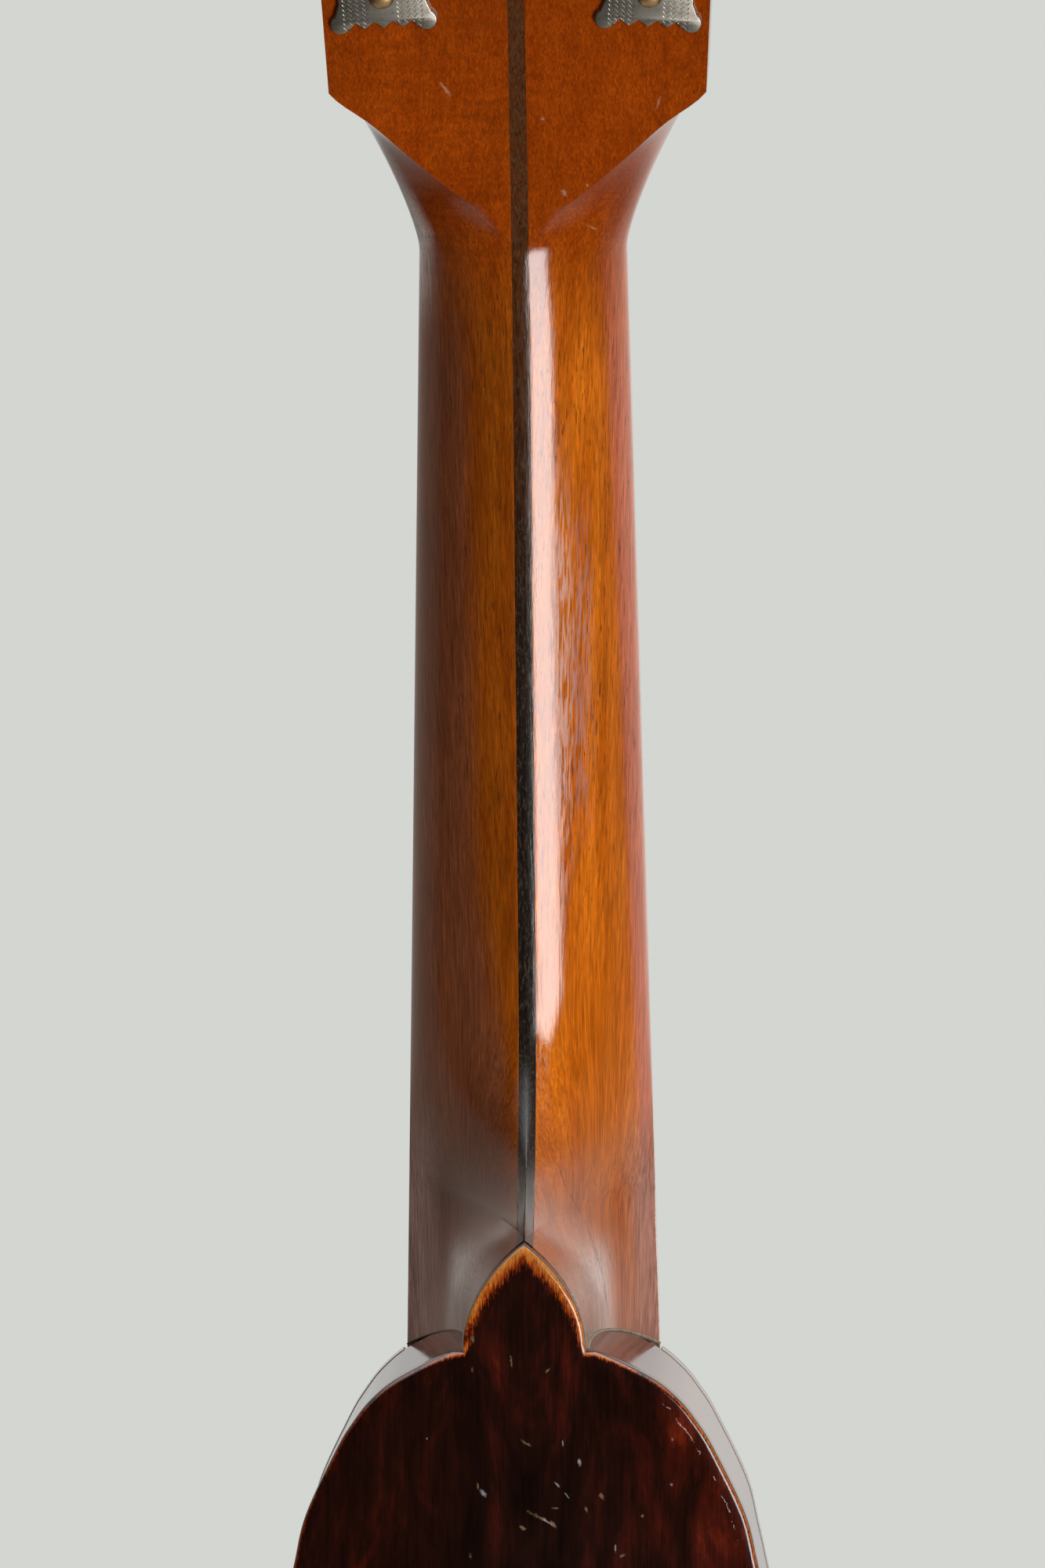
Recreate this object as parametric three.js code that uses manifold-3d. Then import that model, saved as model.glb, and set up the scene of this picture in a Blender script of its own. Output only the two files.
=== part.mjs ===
// A carved-top mandola: a pear-shaped sound box, a neck in two halves with a dark centre strip,
// eight strings in four courses, and eight worm tuners on two plates.
// Millimetres, +Z up along the neck, the strings face -Y, the bass side is -X.
// The origin is the centre of the end pin's flat end, on the centre line at half the sides' depth.
import * as THREE from "three";
import { mergeVertices } from "three/addons/utils/BufferGeometryUtils.js";
import Module from "manifold-3d";

const wasm = await Module();
wasm.setup();

// Driving sizes of the whole instrument
const SCALE_LENGTH = 400;
const BODY_LENGTH = 365;
const BODY_WIDTH = 283;
const BODY_DEPTH = 47.6;
const NECK_ANGLE = (4.5 * Math.PI) / 180;
const HEAD_ANGLE = (14 * Math.PI) / 180;
const GLUE_GAP = 0.06;
const CUT_GAP = 0.3;
const OVERRUN = 5;
const WELD_DISTANCE = 1e-4;

// Sound box
const TOP_EDGE = 4.5;
const BACK_EDGE = 3.6;
const TOP_ARCH = 15;
const BACK_ARCH = 12;
const TOP_THICKNESS = 5;
const BACK_THICKNESS = 4.4;
const PLATE_OVERHANG = 0.8;
const TOP_OVERHANG = 0.1;
const BINDING_WIDTH = 1.6;
const RIM_THICKNESS = 2.2;
const ARCH_CENTER_SHARE = 0.615;
const GLUE_LAND_SHARE = 0.93;
const NECK_BLOCK_LENGTH = 36;
const TAIL_BLOCK_LENGTH = 24;
const BLOCK_HALF_WIDTH = 30;
const LINING_WIDTH = 5;
const LINING_HEIGHT = 8;
const BRACE_WIDTH = 8;
const BRACE_HEIGHT = 9;
const SOUND_HOLE_WIDTH = 60;
const SOUND_HOLE_HEIGHT = 42;
const ROSETTE_INSET = 3;
const ROSETTE_WIDTH = 3.2;
const ROSETTE_DEPTH = 1.2;
const HOLE_STEPS = 28;

// Button of the back plate that covers the heel
const BUTTON_HALF_WIDTH = 10;
const BUTTON_LENGTH = 16.6;
const BUTTON_SIDE_POWER = 1.9;
const BUTTON_POINT_POWER = 0.9;
const BUTTON_STEPS = 10;

// Neck, heel and headstock
const NUT_HALF_WIDTH = 16.8;
const JOINT_HALF_WIDTH = 20.5;
const NUT_NECK_DEPTH = 13.5;
const JOINT_NECK_DEPTH = 16.5;
const CENTER_STRIP_WIDTH = 2.8;
const HEEL_CURVE = 38;
const HEEL_BLEND_POWER = 1.7;
const HEEL_CHEEK_POWER = 6;
const HEEL_CAP_POWER = 8;
const HEEL_EASE = 7;
const TENON_HALF_WIDTH = 8;
const TENON_FLARE = 3;
const TENON_LENGTH = 15;
const HEAD_LENGTH = 162.4;
const HEAD_THICKNESS = 13.5;
const HEAD_CORNER = 32.8;
const HEAD_CORNER_HALF_WIDTH = 30.6;
const HEAD_SPREAD = 0.054;
const HEAD_FLARE_POWER = 1.33;
const CREST_RISE = 11;
const BEND_ON_NECK = 16;
const BEND_ON_HEAD = 16;
const NECK_POWERS = [1.33, 1.2];
const HEEL_POWERS = [2.5, 2.6];
const RIDGE_END_ANGLE = (88 * Math.PI) / 180;
const SWELL_RISE = 2.6;
const SWELL_RISE_POWER = 3;
const SWELL_END = 14;
const SWELL_END_POWER = 24;
const SECTION_POINTS = 8;
const VENEER_THICKNESS = 1.6;

// Fingerboard, nut and bridge
const BOARD_THICKNESS = 5;
const BOARD_BINDING = 1.5;
const FRET_COUNT = 20;
const FRET_WIDTH = 2;
const FRET_CROWN_WIDTH = 1.1;
const FRET_HEIGHT = 1;
const FRET_SEAT = 0.5;
const JOINT_FRET = 10;
const BOARD_END_MARGIN = 5;
const NUT_LENGTH = 5;
const NUT_RISE = 1.6;
const BRIDGE_RISE = 6.1;
const BRIDGE_HALF_LENGTH = 52;
const BRIDGE_SADDLE_HALF_LENGTH = 27;
const BRIDGE_SADDLE_BEVEL = 3;
const BRIDGE_THICKNESS = 9;
const BRIDGE_CREST_WIDTH = 4.5;
const BRIDGE_WING_HEIGHT = 5.5;
const BRIDGE_COMPENSATION = 2;

// Strings, bass to treble: radius of each course, and its places at nut and bridge
const COURSE_RADII = [0.62, 0.46, 0.32, 0.2];
const SLOT_DEPTH = 0.5;
const SLOT_CLEARANCE = 0.12;
const COURSE_SPACING_NUT = 8.2;
const COURSE_SPACING_BRIDGE = 13;
const PAIR_SPACING_NUT = 2.4;
const PAIR_SPACING_BRIDGE = 3;
const WINDING_TURNS = 2.5;
const WINDING_STEPS = 10;
const WINDING_GAP = 0.5;
const WINDING_START = 8.2;
const STRING_SIDES = 4;

// Tailpiece and end pin
const TAIL_PLATE = 1;
const TAIL_WIDTH = 40;
const TAIL_LENGTH = 50;
const TAIL_LEG = 15;
const TAIL_LIFT = 0.35;
const HOOK_HEIGHT = 2.6;
const HOOK_WIDTH = 1.4;
const HOOK_PLACE = 30;
const COVER_HEIGHT = 8;
const COVER_WALL = 0.8;
const COVER_CLEARANCE = 0.4;
const COVER_SHOULDER_SHARE = 0.6;
const COVER_STEPS = 8;
const PIN_LENGTH = 12;
const PIN_FLANGE_RADIUS = 6.5;
const PIN_SHAFT_RADIUS = 3.2;
const PIN_SHAFT_LENGTH = 18;
const PIN_SIDES = 12;

// Pickguard and its bracket
const GUARD_THICKNESS = 1.8;
const GUARD_LIFT = 2.6;
const GUARD_START = 204;
const GUARD_LENGTH = 184;
const GUARD_WIDTH = 46;
const GUARD_GAP = 0.6;
const BRACKET_THICKNESS = 1.5;
const BRACKET_WIDTH = 7;
const BRACKET_PLACE = 304;
const BRACKET_LEG = 16;

// Tuners: four worm drives to a plate, at each side of the headstock
const TUNERS_PER_SIDE = 4;
const TUNER_SPACING = 23.8;
const FIRST_TUNER = 58.4;
const FIRST_TUNER_X = 22;
const PLATE_LEAN = (3.5 * Math.PI) / 180;
const PLATE_THICKNESS = 1.1;
const PLATE_HALF_WIDTH = 7.1;
const PLATE_LOBE_HALF_WIDTH = 8.6;
const PLATE_LOBE_HEIGHT = 5;
const PLATE_LOW_END = 14.5;
const PLATE_HIGH_END = 19;
const GEAR_TEETH = 14;
const GEAR_PITCH = 2.4;
const GEAR_THICKNESS = 2.8;
const TOOTH_HALF_HEIGHT = 0.7;
const WORM_PITCH_RADIUS = 2.6;
const WORM_CORE_RADIUS = 1.7;
const WORM_TURNS = 2.5;
const WORM_STEPS = 8;
const THREAD_ROOT_WIDTH = 1;
const THREAD_CREST_WIDTH = 0.45;
const THREAD_SINK = 0.24;
const WORM_AXIS_HEIGHT = 4.7;
const JOURNAL_RADIUS = 1.4;
const JOURNAL_CLEARANCE = 0.12;
const EAR_PLACE = 5.6;
const EAR_THICKNESS = 1.2;
const EAR_HALF_WIDTH = 2.3;
const SHAFT_LENGTH = 20;
const KNOB_START = 16;
const KNOB_LENGTH = 15;
const KNOB_HALF_WIDTH = 8;
const KNOB_HALF_THICKNESS = 3.4;
const KNOB_SIDES = 10;
const POST_RADIUS = 3;
const POST_WAIST_RADIUS = 2.6;
const POST_HEIGHT = 13;
const POST_CLEARANCE = 0.5;
const POST_CHAMFER = 1.1;
const POST_BASE_HEIGHT = 1.4;
const POST_CAP_HEIGHT = 0.9;
const POST_WAIST_LENGTH = 6.2;
const POST_SIDES = 8;
const PLATE_HOLE_CLEARANCE = 0.18;
const BORE_SIDES = 8;

// Half the body's outline from the neck to the tail: share of the half width, share of the length
const OUTLINE_SHARES = [
  [0, 0], [0.0706, 0.0034], [0.138, 0.0153], [0.171, 0.0252], [0.193, 0.0359], [0.2113, 0.0477],
  [0.2459, 0.0762], [0.26, 0.0989], [0.281, 0.134], [0.319, 0.171], [0.383, 0.219], [0.47, 0.268],
  [0.57, 0.318], [0.674, 0.367], [0.773, 0.416], [0.86, 0.466], [0.929, 0.5205], [0.975, 0.575],
  [0.997, 0.63], [1, 0.668], [0.986, 0.718], [0.943, 0.778], [0.872, 0.833], [0.765, 0.885],
  [0.62, 0.9315], [0.436, 0.9685], [0.224, 0.992], [0, 1],
];

// The pickguard's outline: share of its width outwards from the board, share of its length towards the tail
const GUARD_SHARES = [
  [0, 0], [0.1, 0], [0.3, 0.12], [0.7, 0.34], [0.93, 0.56],
  [1, 0.74], [0.96, 0.88], [0.8, 0.98], [0.55, 1],
  [0.2, 1], [0.08, 0.97], [0, 0.9],
];

// Half a tuner plate's end, from the middle of its width outwards:
// share of the lobe's half width, and share of the lobe's height
const PLATE_END_SHARES = [
  [0, 0.12], [0.175, 0.35], [0.36, 0.12], [0.535, 0.35], [0.66, 0.1],
  [0.8, 0], [0.94, 0.12], [1, 0.37], [0.95, 0.65],
];

// Turned profiles as shares of the greatest radius and of the length: end pin outside the body, and knob
const PIN_SHARES = [
  [0, 0], [0.65, 0], [0.85, 0.07], [1, 0.19], [0.85, 0.32],
  [0.65, 0.5], [0.65, 0.72], [0.85, 0.92], [0.85, 1],
];
const KNOB_SHARES = [[0, 0], [0.32, 0], [0.36, 0.12], [0.86, 0.3], [1, 0.58], [0.8, 0.88], [0, 1]];

// Places worked out from the driving sizes
const FRONT = -BODY_DEPTH / 2;
const BACK = BODY_DEPTH / 2;
const TAIL_Z = PIN_LENGTH;
const NECK_END_Z = TAIL_Z + BODY_LENGTH;
const ARCH_CENTER_Z = NECK_END_Z - BODY_LENGTH * ARCH_CENTER_SHARE;
const TOP_INNER = FRONT + TOP_EDGE;
const TOP_INSET = BINDING_WIDTH - TOP_OVERHANG + GLUE_GAP;
const BACK_INNER = BACK - BACK_EDGE;
const fretPlace = (n) => SCALE_LENGTH * (1 - Math.pow(2, -n / 12));
const JOINT_S = fretPlace(JOINT_FRET);
const JOINT_Z = NECK_END_Z;
const NUT = new THREE.Vector3(
  0,
  FRONT + JOINT_S * Math.sin(NECK_ANGLE),
  JOINT_Z + JOINT_S * Math.cos(NECK_ANGLE),
);
const HEAD_TILT = NECK_ANGLE + HEAD_ANGLE;
const BOARD_LENGTH = fretPlace(FRET_COUNT) + BOARD_END_MARGIN;
const BRIDGE_S = SCALE_LENGTH + BRIDGE_COMPENSATION;
const SOUND_HOLE_Z =
  NUT.z - BOARD_LENGTH * Math.cos(NECK_ANGLE) - SOUND_HOLE_HEIGHT / 2 - 2 * ROSETTE_INSET - ROSETTE_WIDTH;
const GEAR_RADIUS = (GEAR_TEETH * GEAR_PITCH) / (2 * Math.PI);
const WORM_OFFSET = GEAR_RADIUS + WORM_PITCH_RADIUS;
const WORM_OUTER_RADIUS = WORM_PITCH_RADIUS + TOOTH_HALF_HEIGHT / 2;

// Materials
const finish = (color, roughness, metalness = 0) =>
  new THREE.MeshStandardMaterial({ color, roughness, metalness });
const materials = {
  top: finish("#a85a1e", 0.3),
  back: finish("#2a0d08", 0.22),
  rim: finish("#4a1a10", 0.2),
  neck: finish("#8f3f0e", 0.22),
  strip: finish("#1c0f08", 0.3),
  inner: finish("#c9a26b", 0.7),
  binding: finish("#e9dcb8", 0.4),
  ebony: finish("#15110f", 0.4),
  bone: finish("#e6dcc4", 0.4),
  guard: finish("#5a2410", 0.2),
  nickel: finish("#a7a294", 0.35, 1),
  brass: finish("#b08a4a", 0.35, 1),
  steel: finish("#c9c9c6", 0.25, 1),
  bronze: finish("#b98b54", 0.35, 1),
  knob: finish("#e2d6b4", 0.35),
};

// Small helpers for solids
function solidOf(geometry) {
  const plain = new THREE.BufferGeometry();
  const flat = geometry.index ? geometry.toNonIndexed() : geometry;
  plain.setAttribute("position", flat.getAttribute("position"));
  const merged = mergeVertices(plain, WELD_DISTANCE);
  return new wasm.Manifold(
    new wasm.Mesh({
      numProp: 3,
      vertProperties: merged.attributes.position.array,
      triVerts: new Uint32Array(merged.index.array),
    }),
  );
}

function geometryOf(solid) {
  const mesh = solid.getMesh();
  const geometry = new THREE.BufferGeometry();
  geometry.setAttribute("position", new THREE.BufferAttribute(Float32Array.from(mesh.vertProperties), 3));
  geometry.setIndex(new THREE.BufferAttribute(Uint32Array.from(mesh.triVerts), 1));
  geometry.computeVertexNormals();
  return geometry;
}

// A closed skin over rings of equally many points, in order, with flat ends
function skin(rings) {
  const size = rings[0].length;
  const positions = [];
  const index = [];
  rings.forEach((ring) => ring.forEach((p) => positions.push(p.x, p.y, p.z)));
  for (let r = 0; r + 1 < rings.length; r++)
    for (let i = 0; i < size; i++) {
      const j = (i + 1) % size;
      const a = r * size + i;
      const b = r * size + j;
      index.push(a, b, b + size, a, b + size, a + size);
    }
  [0, rings.length - 1].forEach((r) => {
    const middle = rings[r].reduce((sum, p) => sum.add(p), new THREE.Vector3()).divideScalar(size);
    const m = positions.length / 3;
    positions.push(middle.x, middle.y, middle.z);
    for (let i = 0; i < size; i++) {
      const j = (i + 1) % size;
      if (r === 0) index.push(r * size + j, r * size + i, m);
      else index.push(r * size + i, r * size + j, m);
    }
  });
  const geometry = new THREE.BufferGeometry();
  geometry.setAttribute("position", new THREE.Float32BufferAttribute(positions, 3));
  geometry.setIndex(index);
  geometry.computeVertexNormals();
  return outward(geometry);
}

// The same geometry with its faces turned to point out
function outward(geometry) {
  const solid = solidOf(geometry);
  if (solid.volume() > 0) return geometry;
  const order = geometry.index.array;
  for (let i = 0; i < order.length; i += 3) [order[i], order[i + 1]] = [order[i + 1], order[i]];
  geometry.computeVertexNormals();
  return geometry;
}

// An outline of [x, z] points carried along Y from low to high
function prism(points, low, high) {
  const shape = new THREE.Shape(points.map(([x, z]) => new THREE.Vector2(x, z)));
  const geometry = new THREE.ExtrudeGeometry(shape, { depth: high - low, bevelEnabled: false });
  geometry.rotateX(Math.PI / 2);
  geometry.translate(0, high, 0);
  return geometry;
}

// An outline of [x, y] points carried along Z from low to high
function bar(points, low, high) {
  const shape = new THREE.Shape(points.map(([x, y]) => new THREE.Vector2(x, y)));
  const geometry = new THREE.ExtrudeGeometry(shape, { depth: high - low, bevelEnabled: false });
  return geometry.translate(0, 0, low);
}

// A profile of [z, y] points carried along X from low to high
function rail(points, low, high) {
  const shape = new THREE.Shape(points.map(([z, y]) => new THREE.Vector2(-z, y)));
  const geometry = new THREE.ExtrudeGeometry(shape, { depth: high - low, bevelEnabled: false });
  return geometry.rotateY(Math.PI / 2).translate(low, 0, 0);
}

// The points of one half, mirrored about the centre line and joined to it
const mirrored = (half) => [...half, ...half.filter(([x]) => x > 0).reverse().map(([x, z]) => [-x, z])];

function box(x0, x1, y0, y1, z0, z1) {
  const geometry = new THREE.BoxGeometry(x1 - x0, y1 - y0, z1 - z0);
  geometry.translate((x0 + x1) / 2, (y0 + y1) / 2, (z0 + z1) / 2);
  return geometry;
}

// A cylinder along Y whose flats, not its corners, lie at the radius
function bore(radius, length) {
  const corner = radius / Math.cos(Math.PI / BORE_SIDES);
  return new THREE.CylinderGeometry(corner, corner, length, BORE_SIDES);
}

// The same along X
const crossBore = (radius, length) => bore(radius, length).rotateZ(Math.PI / 2);

// A profile of [radius, place] turned about Y, with its seam closed
function turned(profile, sides) {
  const lathe = new THREE.LatheGeometry(profile.map(([radius, y]) => new THREE.Vector2(radius, y)), sides);
  return outward(mergeVertices(lathe.deleteAttribute("normal").deleteAttribute("uv"), WELD_DISTANCE));
}

// A tube of the given radius along points, as one unbroken skin
function tube(points, radius, sides) {
  const tangents = points.map((p, i) =>
    points[Math.min(i + 1, points.length - 1)].clone().sub(points[Math.max(i - 1, 0)]).normalize(),
  );
  let side = new THREE.Vector3(1, 0, 0);
  const rings = points.map((p, i) => {
    side = side.clone().addScaledVector(tangents[i], -side.dot(tangents[i])).normalize();
    const up = new THREE.Vector3().crossVectors(tangents[i], side);
    return Array.from({ length: sides }, (_, k) => {
      const angle = (2 * Math.PI * k) / sides;
      return p
        .clone()
        .addScaledVector(side, radius * Math.cos(angle))
        .addScaledVector(up, radius * Math.sin(angle));
    });
  });
  return skin(rings);
}


// Body outline
const halfOutline = OUTLINE_SHARES.map(
  ([across, along]) => new THREE.Vector3((across * BODY_WIDTH) / 2, 0, NECK_END_Z - along * BODY_LENGTH),
);
const outlineCurve = new THREE.CatmullRomCurve3(
  [...halfOutline, ...halfOutline.slice(1, -1).reverse().map((p) => new THREE.Vector3(-p.x, 0, p.z))],
  true,
  "catmullrom",
  0.5,
);
const OUTLINE_SPANS = 2 * (OUTLINE_SHARES.length - 1);
const NUDGE_SHARE = 1e-4;

// Outline points [x, z] moved in by inset, from parameter 0 at the neck,
// over the treble side to the tail and back
function outlinePoint(t, inset) {
  const p = outlineCurve.getPoint(t);
  const before = outlineCurve.getPoint((t + 1 - NUDGE_SHARE) % 1);
  const tangent = outlineCurve.getPoint((t + NUDGE_SHARE) % 1).sub(before).normalize();
  return [p.x + tangent.z * inset, p.z - tangent.x * inset];
}

function fullOutline(inset, steps = OUTLINE_SPANS) {
  return Array.from({ length: steps }, (_, i) => outlinePoint(i / steps, inset));
}

// One side's outline from neckX at the neck to tailX at the tail; side is 1 for treble and -1 for bass
function sideOutline(side, inset, neckX, tailX) {
  const points = fullOutline(inset).slice(0, OUTLINE_SPANS / 2 + 1);
  const widest = points.reduce((best, [x], i) => (x > points[best][0] ? i : best), 0);
  const kept = points.filter(([x], i) => x > (i < widest ? neckX : tailX));
  const before = points[points.indexOf(kept[0]) - 1] ?? kept[0];
  const after = points[points.indexOf(kept[kept.length - 1]) + 1] ?? kept[kept.length - 1];
  const crossing = ([xa, za], [xb, zb], x) => [x, xa === xb ? za : za + ((zb - za) * (x - xa)) / (xb - xa)];
  const line = [crossing(before, kept[0], neckX), ...kept, crossing(kept[kept.length - 1], after, tailX)];
  return line.map(([x, z]) => [side * x, z]);
}

// A strip that follows one side between two insets
function sideBand(side, outer, inner, neckX, tailX, low, high) {
  const out = sideOutline(side, outer, neckX, tailX);
  const back = sideOutline(side, inner, neckX, tailX).reverse();
  return prism([...out, ...back], low, high);
}

// Height of the arch as a share, at a share of the way from its centre to the edge
const archShare = (k) => (k >= 1 ? 0 : (1 + Math.cos(Math.PI * k)) / 2);

// How far out (x, z) lies from the arch's centre, as a share of the way to the outline moved in by inset
function outShare(x, z, inset) {
  const reach = Math.hypot(x, z - ARCH_CENTER_Z);
  const points = fullOutline(inset, 2 * OUTLINE_SPANS).map(([px, pz]) => [px, pz - ARCH_CENTER_Z]);
  const cross = ([ax, az], [bx, bz]) => ax * bz - az * bx;
  const toward = [x, z - ARCH_CENTER_Z];
  const i = points.findIndex((a, n) => {
    const b = points[(n + 1) % points.length];
    return cross(toward, a) >= 0 && cross(toward, b) < 0 && a[0] * toward[0] + a[1] * toward[1] > 0;
  });
  const a = points[Math.max(i, 0)];
  const b = points[(Math.max(i, 0) + 1) % points.length];
  const part = cross(toward, a) / (cross(toward, a) - cross(toward, b));
  return reach / Math.hypot(a[0] + (b[0] - a[0]) * part, a[1] + (b[1] - a[1]) * part);
}

// Carved plate: outer and inner faces as rings of the outline drawn in towards the arch's centre
const PLATE_RING_SHARES = [1, 0.88, 0.7, 0.46, 0.2];
function carvedPlate(outline, direction, edgeOuter, edgeInner, arch, innerArch) {
  const ring = (k, faceY) =>
    outline.map(([x, z]) => new THREE.Vector3(x * k, faceY, ARCH_CENTER_Z + (z - ARCH_CENTER_Z) * k));
  const outerRings = [...PLATE_RING_SHARES]
    .reverse()
    .map((k) => ring(k, edgeOuter + direction * arch * archShare(k)));
  const innerRings = PLATE_RING_SHARES.map((k) =>
    ring(k, edgeInner + direction * innerArch * archShare(k / GLUE_LAND_SHARE)),
  );
  return skin([...outerRings, ...innerRings]);
}

// Ellipse of [x, z] points around the sound hole, grown by margin
const holeEllipse = (margin, steps) =>
  Array.from({ length: steps }, (_, i) => {
    const angle = (2 * Math.PI * i) / steps;
    return [
      (SOUND_HOLE_WIDTH / 2 + margin) * Math.cos(angle),
      SOUND_HOLE_Z + (SOUND_HOLE_HEIGHT / 2 + margin) * Math.sin(angle),
    ];
  });

const topHeight = (x, z) => TOP_ARCH * archShare(outShare(x, z, TOP_INSET));

// A ring let into the top around the sound hole, from lift above its face to depth below it
function holeRing(inner, outer, lift, depth) {
  const steps = HOLE_STEPS;
  const levels = [[inner, lift], [outer, lift], [outer, -depth], [inner, -depth]];
  const rings = Array.from({ length: steps }, (_, i) =>
    levels.map(([margin, level]) => {
      const [x, z] = holeEllipse(margin, steps)[i];
      return new THREE.Vector3(x, FRONT - topHeight(x, z) - level, z);
    }),
  );
  const positions = rings.flat().flatMap((p) => [p.x, p.y, p.z]);
  const index = [];
  for (let r = 0; r < steps; r++)
    for (let i = 0; i < 4; i++) {
      const a = r * 4 + i;
      const b = r * 4 + ((i + 1) % 4);
      const c = ((r + 1) % steps) * 4 + i;
      const d = ((r + 1) % steps) * 4 + ((i + 1) % 4);
      index.push(a, b, d, a, d, c);
    }
  const geometry = new THREE.BufferGeometry();
  geometry.setAttribute("position", new THREE.Float32BufferAttribute(positions, 3));
  geometry.setIndex(index);
  return outward(geometry);
}

// Neck and headstock as one row of cross-sections
const boardHalfWidth = (s) =>
  NUT_HALF_WIDTH + ((JOINT_HALF_WIDTH - NUT_HALF_WIDTH) * Math.max(s, 0)) / JOINT_S;

function headHalfWidth(up) {
  const flare = THREE.MathUtils.lerp(
    NUT_HALF_WIDTH,
    HEAD_CORNER_HALF_WIDTH,
    Math.pow(up / HEAD_CORNER, HEAD_FLARE_POWER),
  );
  const spread = HEAD_CORNER_HALF_WIDTH + HEAD_SPREAD * (up - HEAD_CORNER);
  const widest = HEAD_CORNER_HALF_WIDTH + HEAD_SPREAD * (HEAD_LENGTH - CREST_RISE - HEAD_CORNER);
  const crest = widest * Math.sqrt(Math.max(0, (HEAD_LENGTH - up) / CREST_RISE));
  return up < HEAD_CORNER ? flare : Math.min(spread, crest);
}

// The face's point at s, which runs from the nut towards the body, and which way is back
function facePoint(s) {
  const turn = s < 0 ? HEAD_TILT : NECK_ANGLE;
  const origin = NUT.clone().add(new THREE.Vector3(0, -s * Math.sin(turn), -s * Math.cos(turn)));
  return { origin, back: new THREE.Vector3(0, Math.cos(turn), -Math.sin(turn)) };
}

function backPoint(s) {
  const { origin, back } = facePoint(s);
  return origin.addScaledVector(back, neckDepth(s));
}

// Where a cross-section lies, which way is back, and how deep it is; the back bends in a smooth arc
function station(s) {
  const { origin, back } = facePoint(s);
  if (s <= -BEND_ON_HEAD || s >= BEND_ON_NECK) return { origin, back, depth: neckDepth(s) };
  const middle = HEAD_TILT - HEAD_ANGLE / 2;
  const corner = NUT.clone().addScaledVector(
    new THREE.Vector3(0, Math.cos(middle), -Math.sin(middle)),
    HEAD_THICKNESS / Math.cos(HEAD_ANGLE / 2),
  );
  const bend = new THREE.QuadraticBezierCurve3(backPoint(-BEND_ON_HEAD), corner, backPoint(BEND_ON_NECK));
  const reach = bend.getPoint((s + BEND_ON_HEAD) / (BEND_ON_HEAD + BEND_ON_NECK)).sub(origin);
  return { origin, depth: reach.length(), back: reach.normalize() };
}

// The heel is as deep as the sides where the button's point covers it,
// and runs on past the cut at the back plate
const HEEL_DEPTH = BODY_DEPTH + OVERRUN;
const HEEL_POINT_S =
  (NUT.z - NECK_END_Z - BUTTON_LENGTH - BODY_DEPTH * Math.sin(NECK_ANGLE)) / Math.cos(NECK_ANGLE);
const HEEL_START_S = HEEL_POINT_S - HEEL_CURVE;

function neckDepth(s) {
  if (s < 0) return HEAD_THICKNESS;
  const plain = THREE.MathUtils.lerp(NUT_NECK_DEPTH, JOINT_NECK_DEPTH, Math.min(1, s / JOINT_S));
  const t = THREE.MathUtils.clamp((s - HEEL_START_S) / HEEL_CURVE, 0, 1);
  return plain + (HEEL_DEPTH - plain) * (1 - Math.sqrt(1 - t * t));
}

function buttonHalfWidth(z) {
  const t = THREE.MathUtils.clamp((z - NECK_END_Z) / BUTTON_LENGTH, 0, 1);
  return BUTTON_HALF_WIDTH * Math.pow(1 - Math.pow(t, BUTTON_SIDE_POWER), BUTTON_POINT_POWER);
}

// The button's half width evened out over a length, so that the heel's cheeks swell without a crease
const EASE_SHARES = [-1, -0.75, -0.5, -0.25, 0, 0.25, 0.5, 0.75, 1];
const cheekHalfWidth = (z) =>
  EASE_SHARES.reduce((sum, share) => sum + buttonHalfWidth(z + share * HEEL_EASE), 0) / EASE_SHARES.length;

// The carved surface is a superellipse; on the headstock it runs on past the flat back, which cuts it
function neckRing(s) {
  const { origin, back, depth } = station(s);
  const width = s < 0 ? headHalfWidth(-s) : boardHalfWidth(s);
  const up = THREE.MathUtils.clamp(-s / HEAD_CORNER, 0, 1);
  const swell = SWELL_RISE * Math.pow(up, SWELL_RISE_POWER) + SWELL_END * Math.pow(up, SWELL_END_POWER);
  const heel = Math.pow(THREE.MathUtils.clamp((s - HEEL_START_S) / HEEL_CURVE, 0, 1), HEEL_BLEND_POWER);
  const [downPower, flarePower] = NECK_POWERS.map((power, i) => power * Math.pow(HEEL_POWERS[i] / power, heel));
  const last = Math.min(Math.asin(Math.pow(1 + swell, -1 / downPower)), RIDGE_END_ANGLE);
  const end = origin.z + back.z * depth;
  const cap = Math.max(buttonHalfWidth(end), GLUE_GAP);
  const cheek = cheekHalfWidth(end);
  const acrossPower = THREE.MathUtils.lerp(flarePower, HEEL_CHEEK_POWER, cheek / BUTTON_HALF_WIDTH);
  const half = Array.from({ length: SECTION_POINTS + 1 }, (_, i) => {
    const angle = (last * i) / SECTION_POINTS;
    const across = Math.pow(Math.cos(angle), acrossPower);
    const core = THREE.MathUtils.lerp(cheek, cap, Math.pow(Math.sin(angle), HEEL_CAP_POWER));
    return [core + (width - core) * across, depth * (1 + swell) * Math.pow(Math.sin(angle), downPower)];
  });
  half.push([cap, depth]);
  const place = ([x, v]) => origin.clone().addScaledVector(back, v).add(new THREE.Vector3(x, 0, 0));
  return [...half.map(([x, v]) => place([-x, v])), ...half.map(place).reverse()];
}

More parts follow.
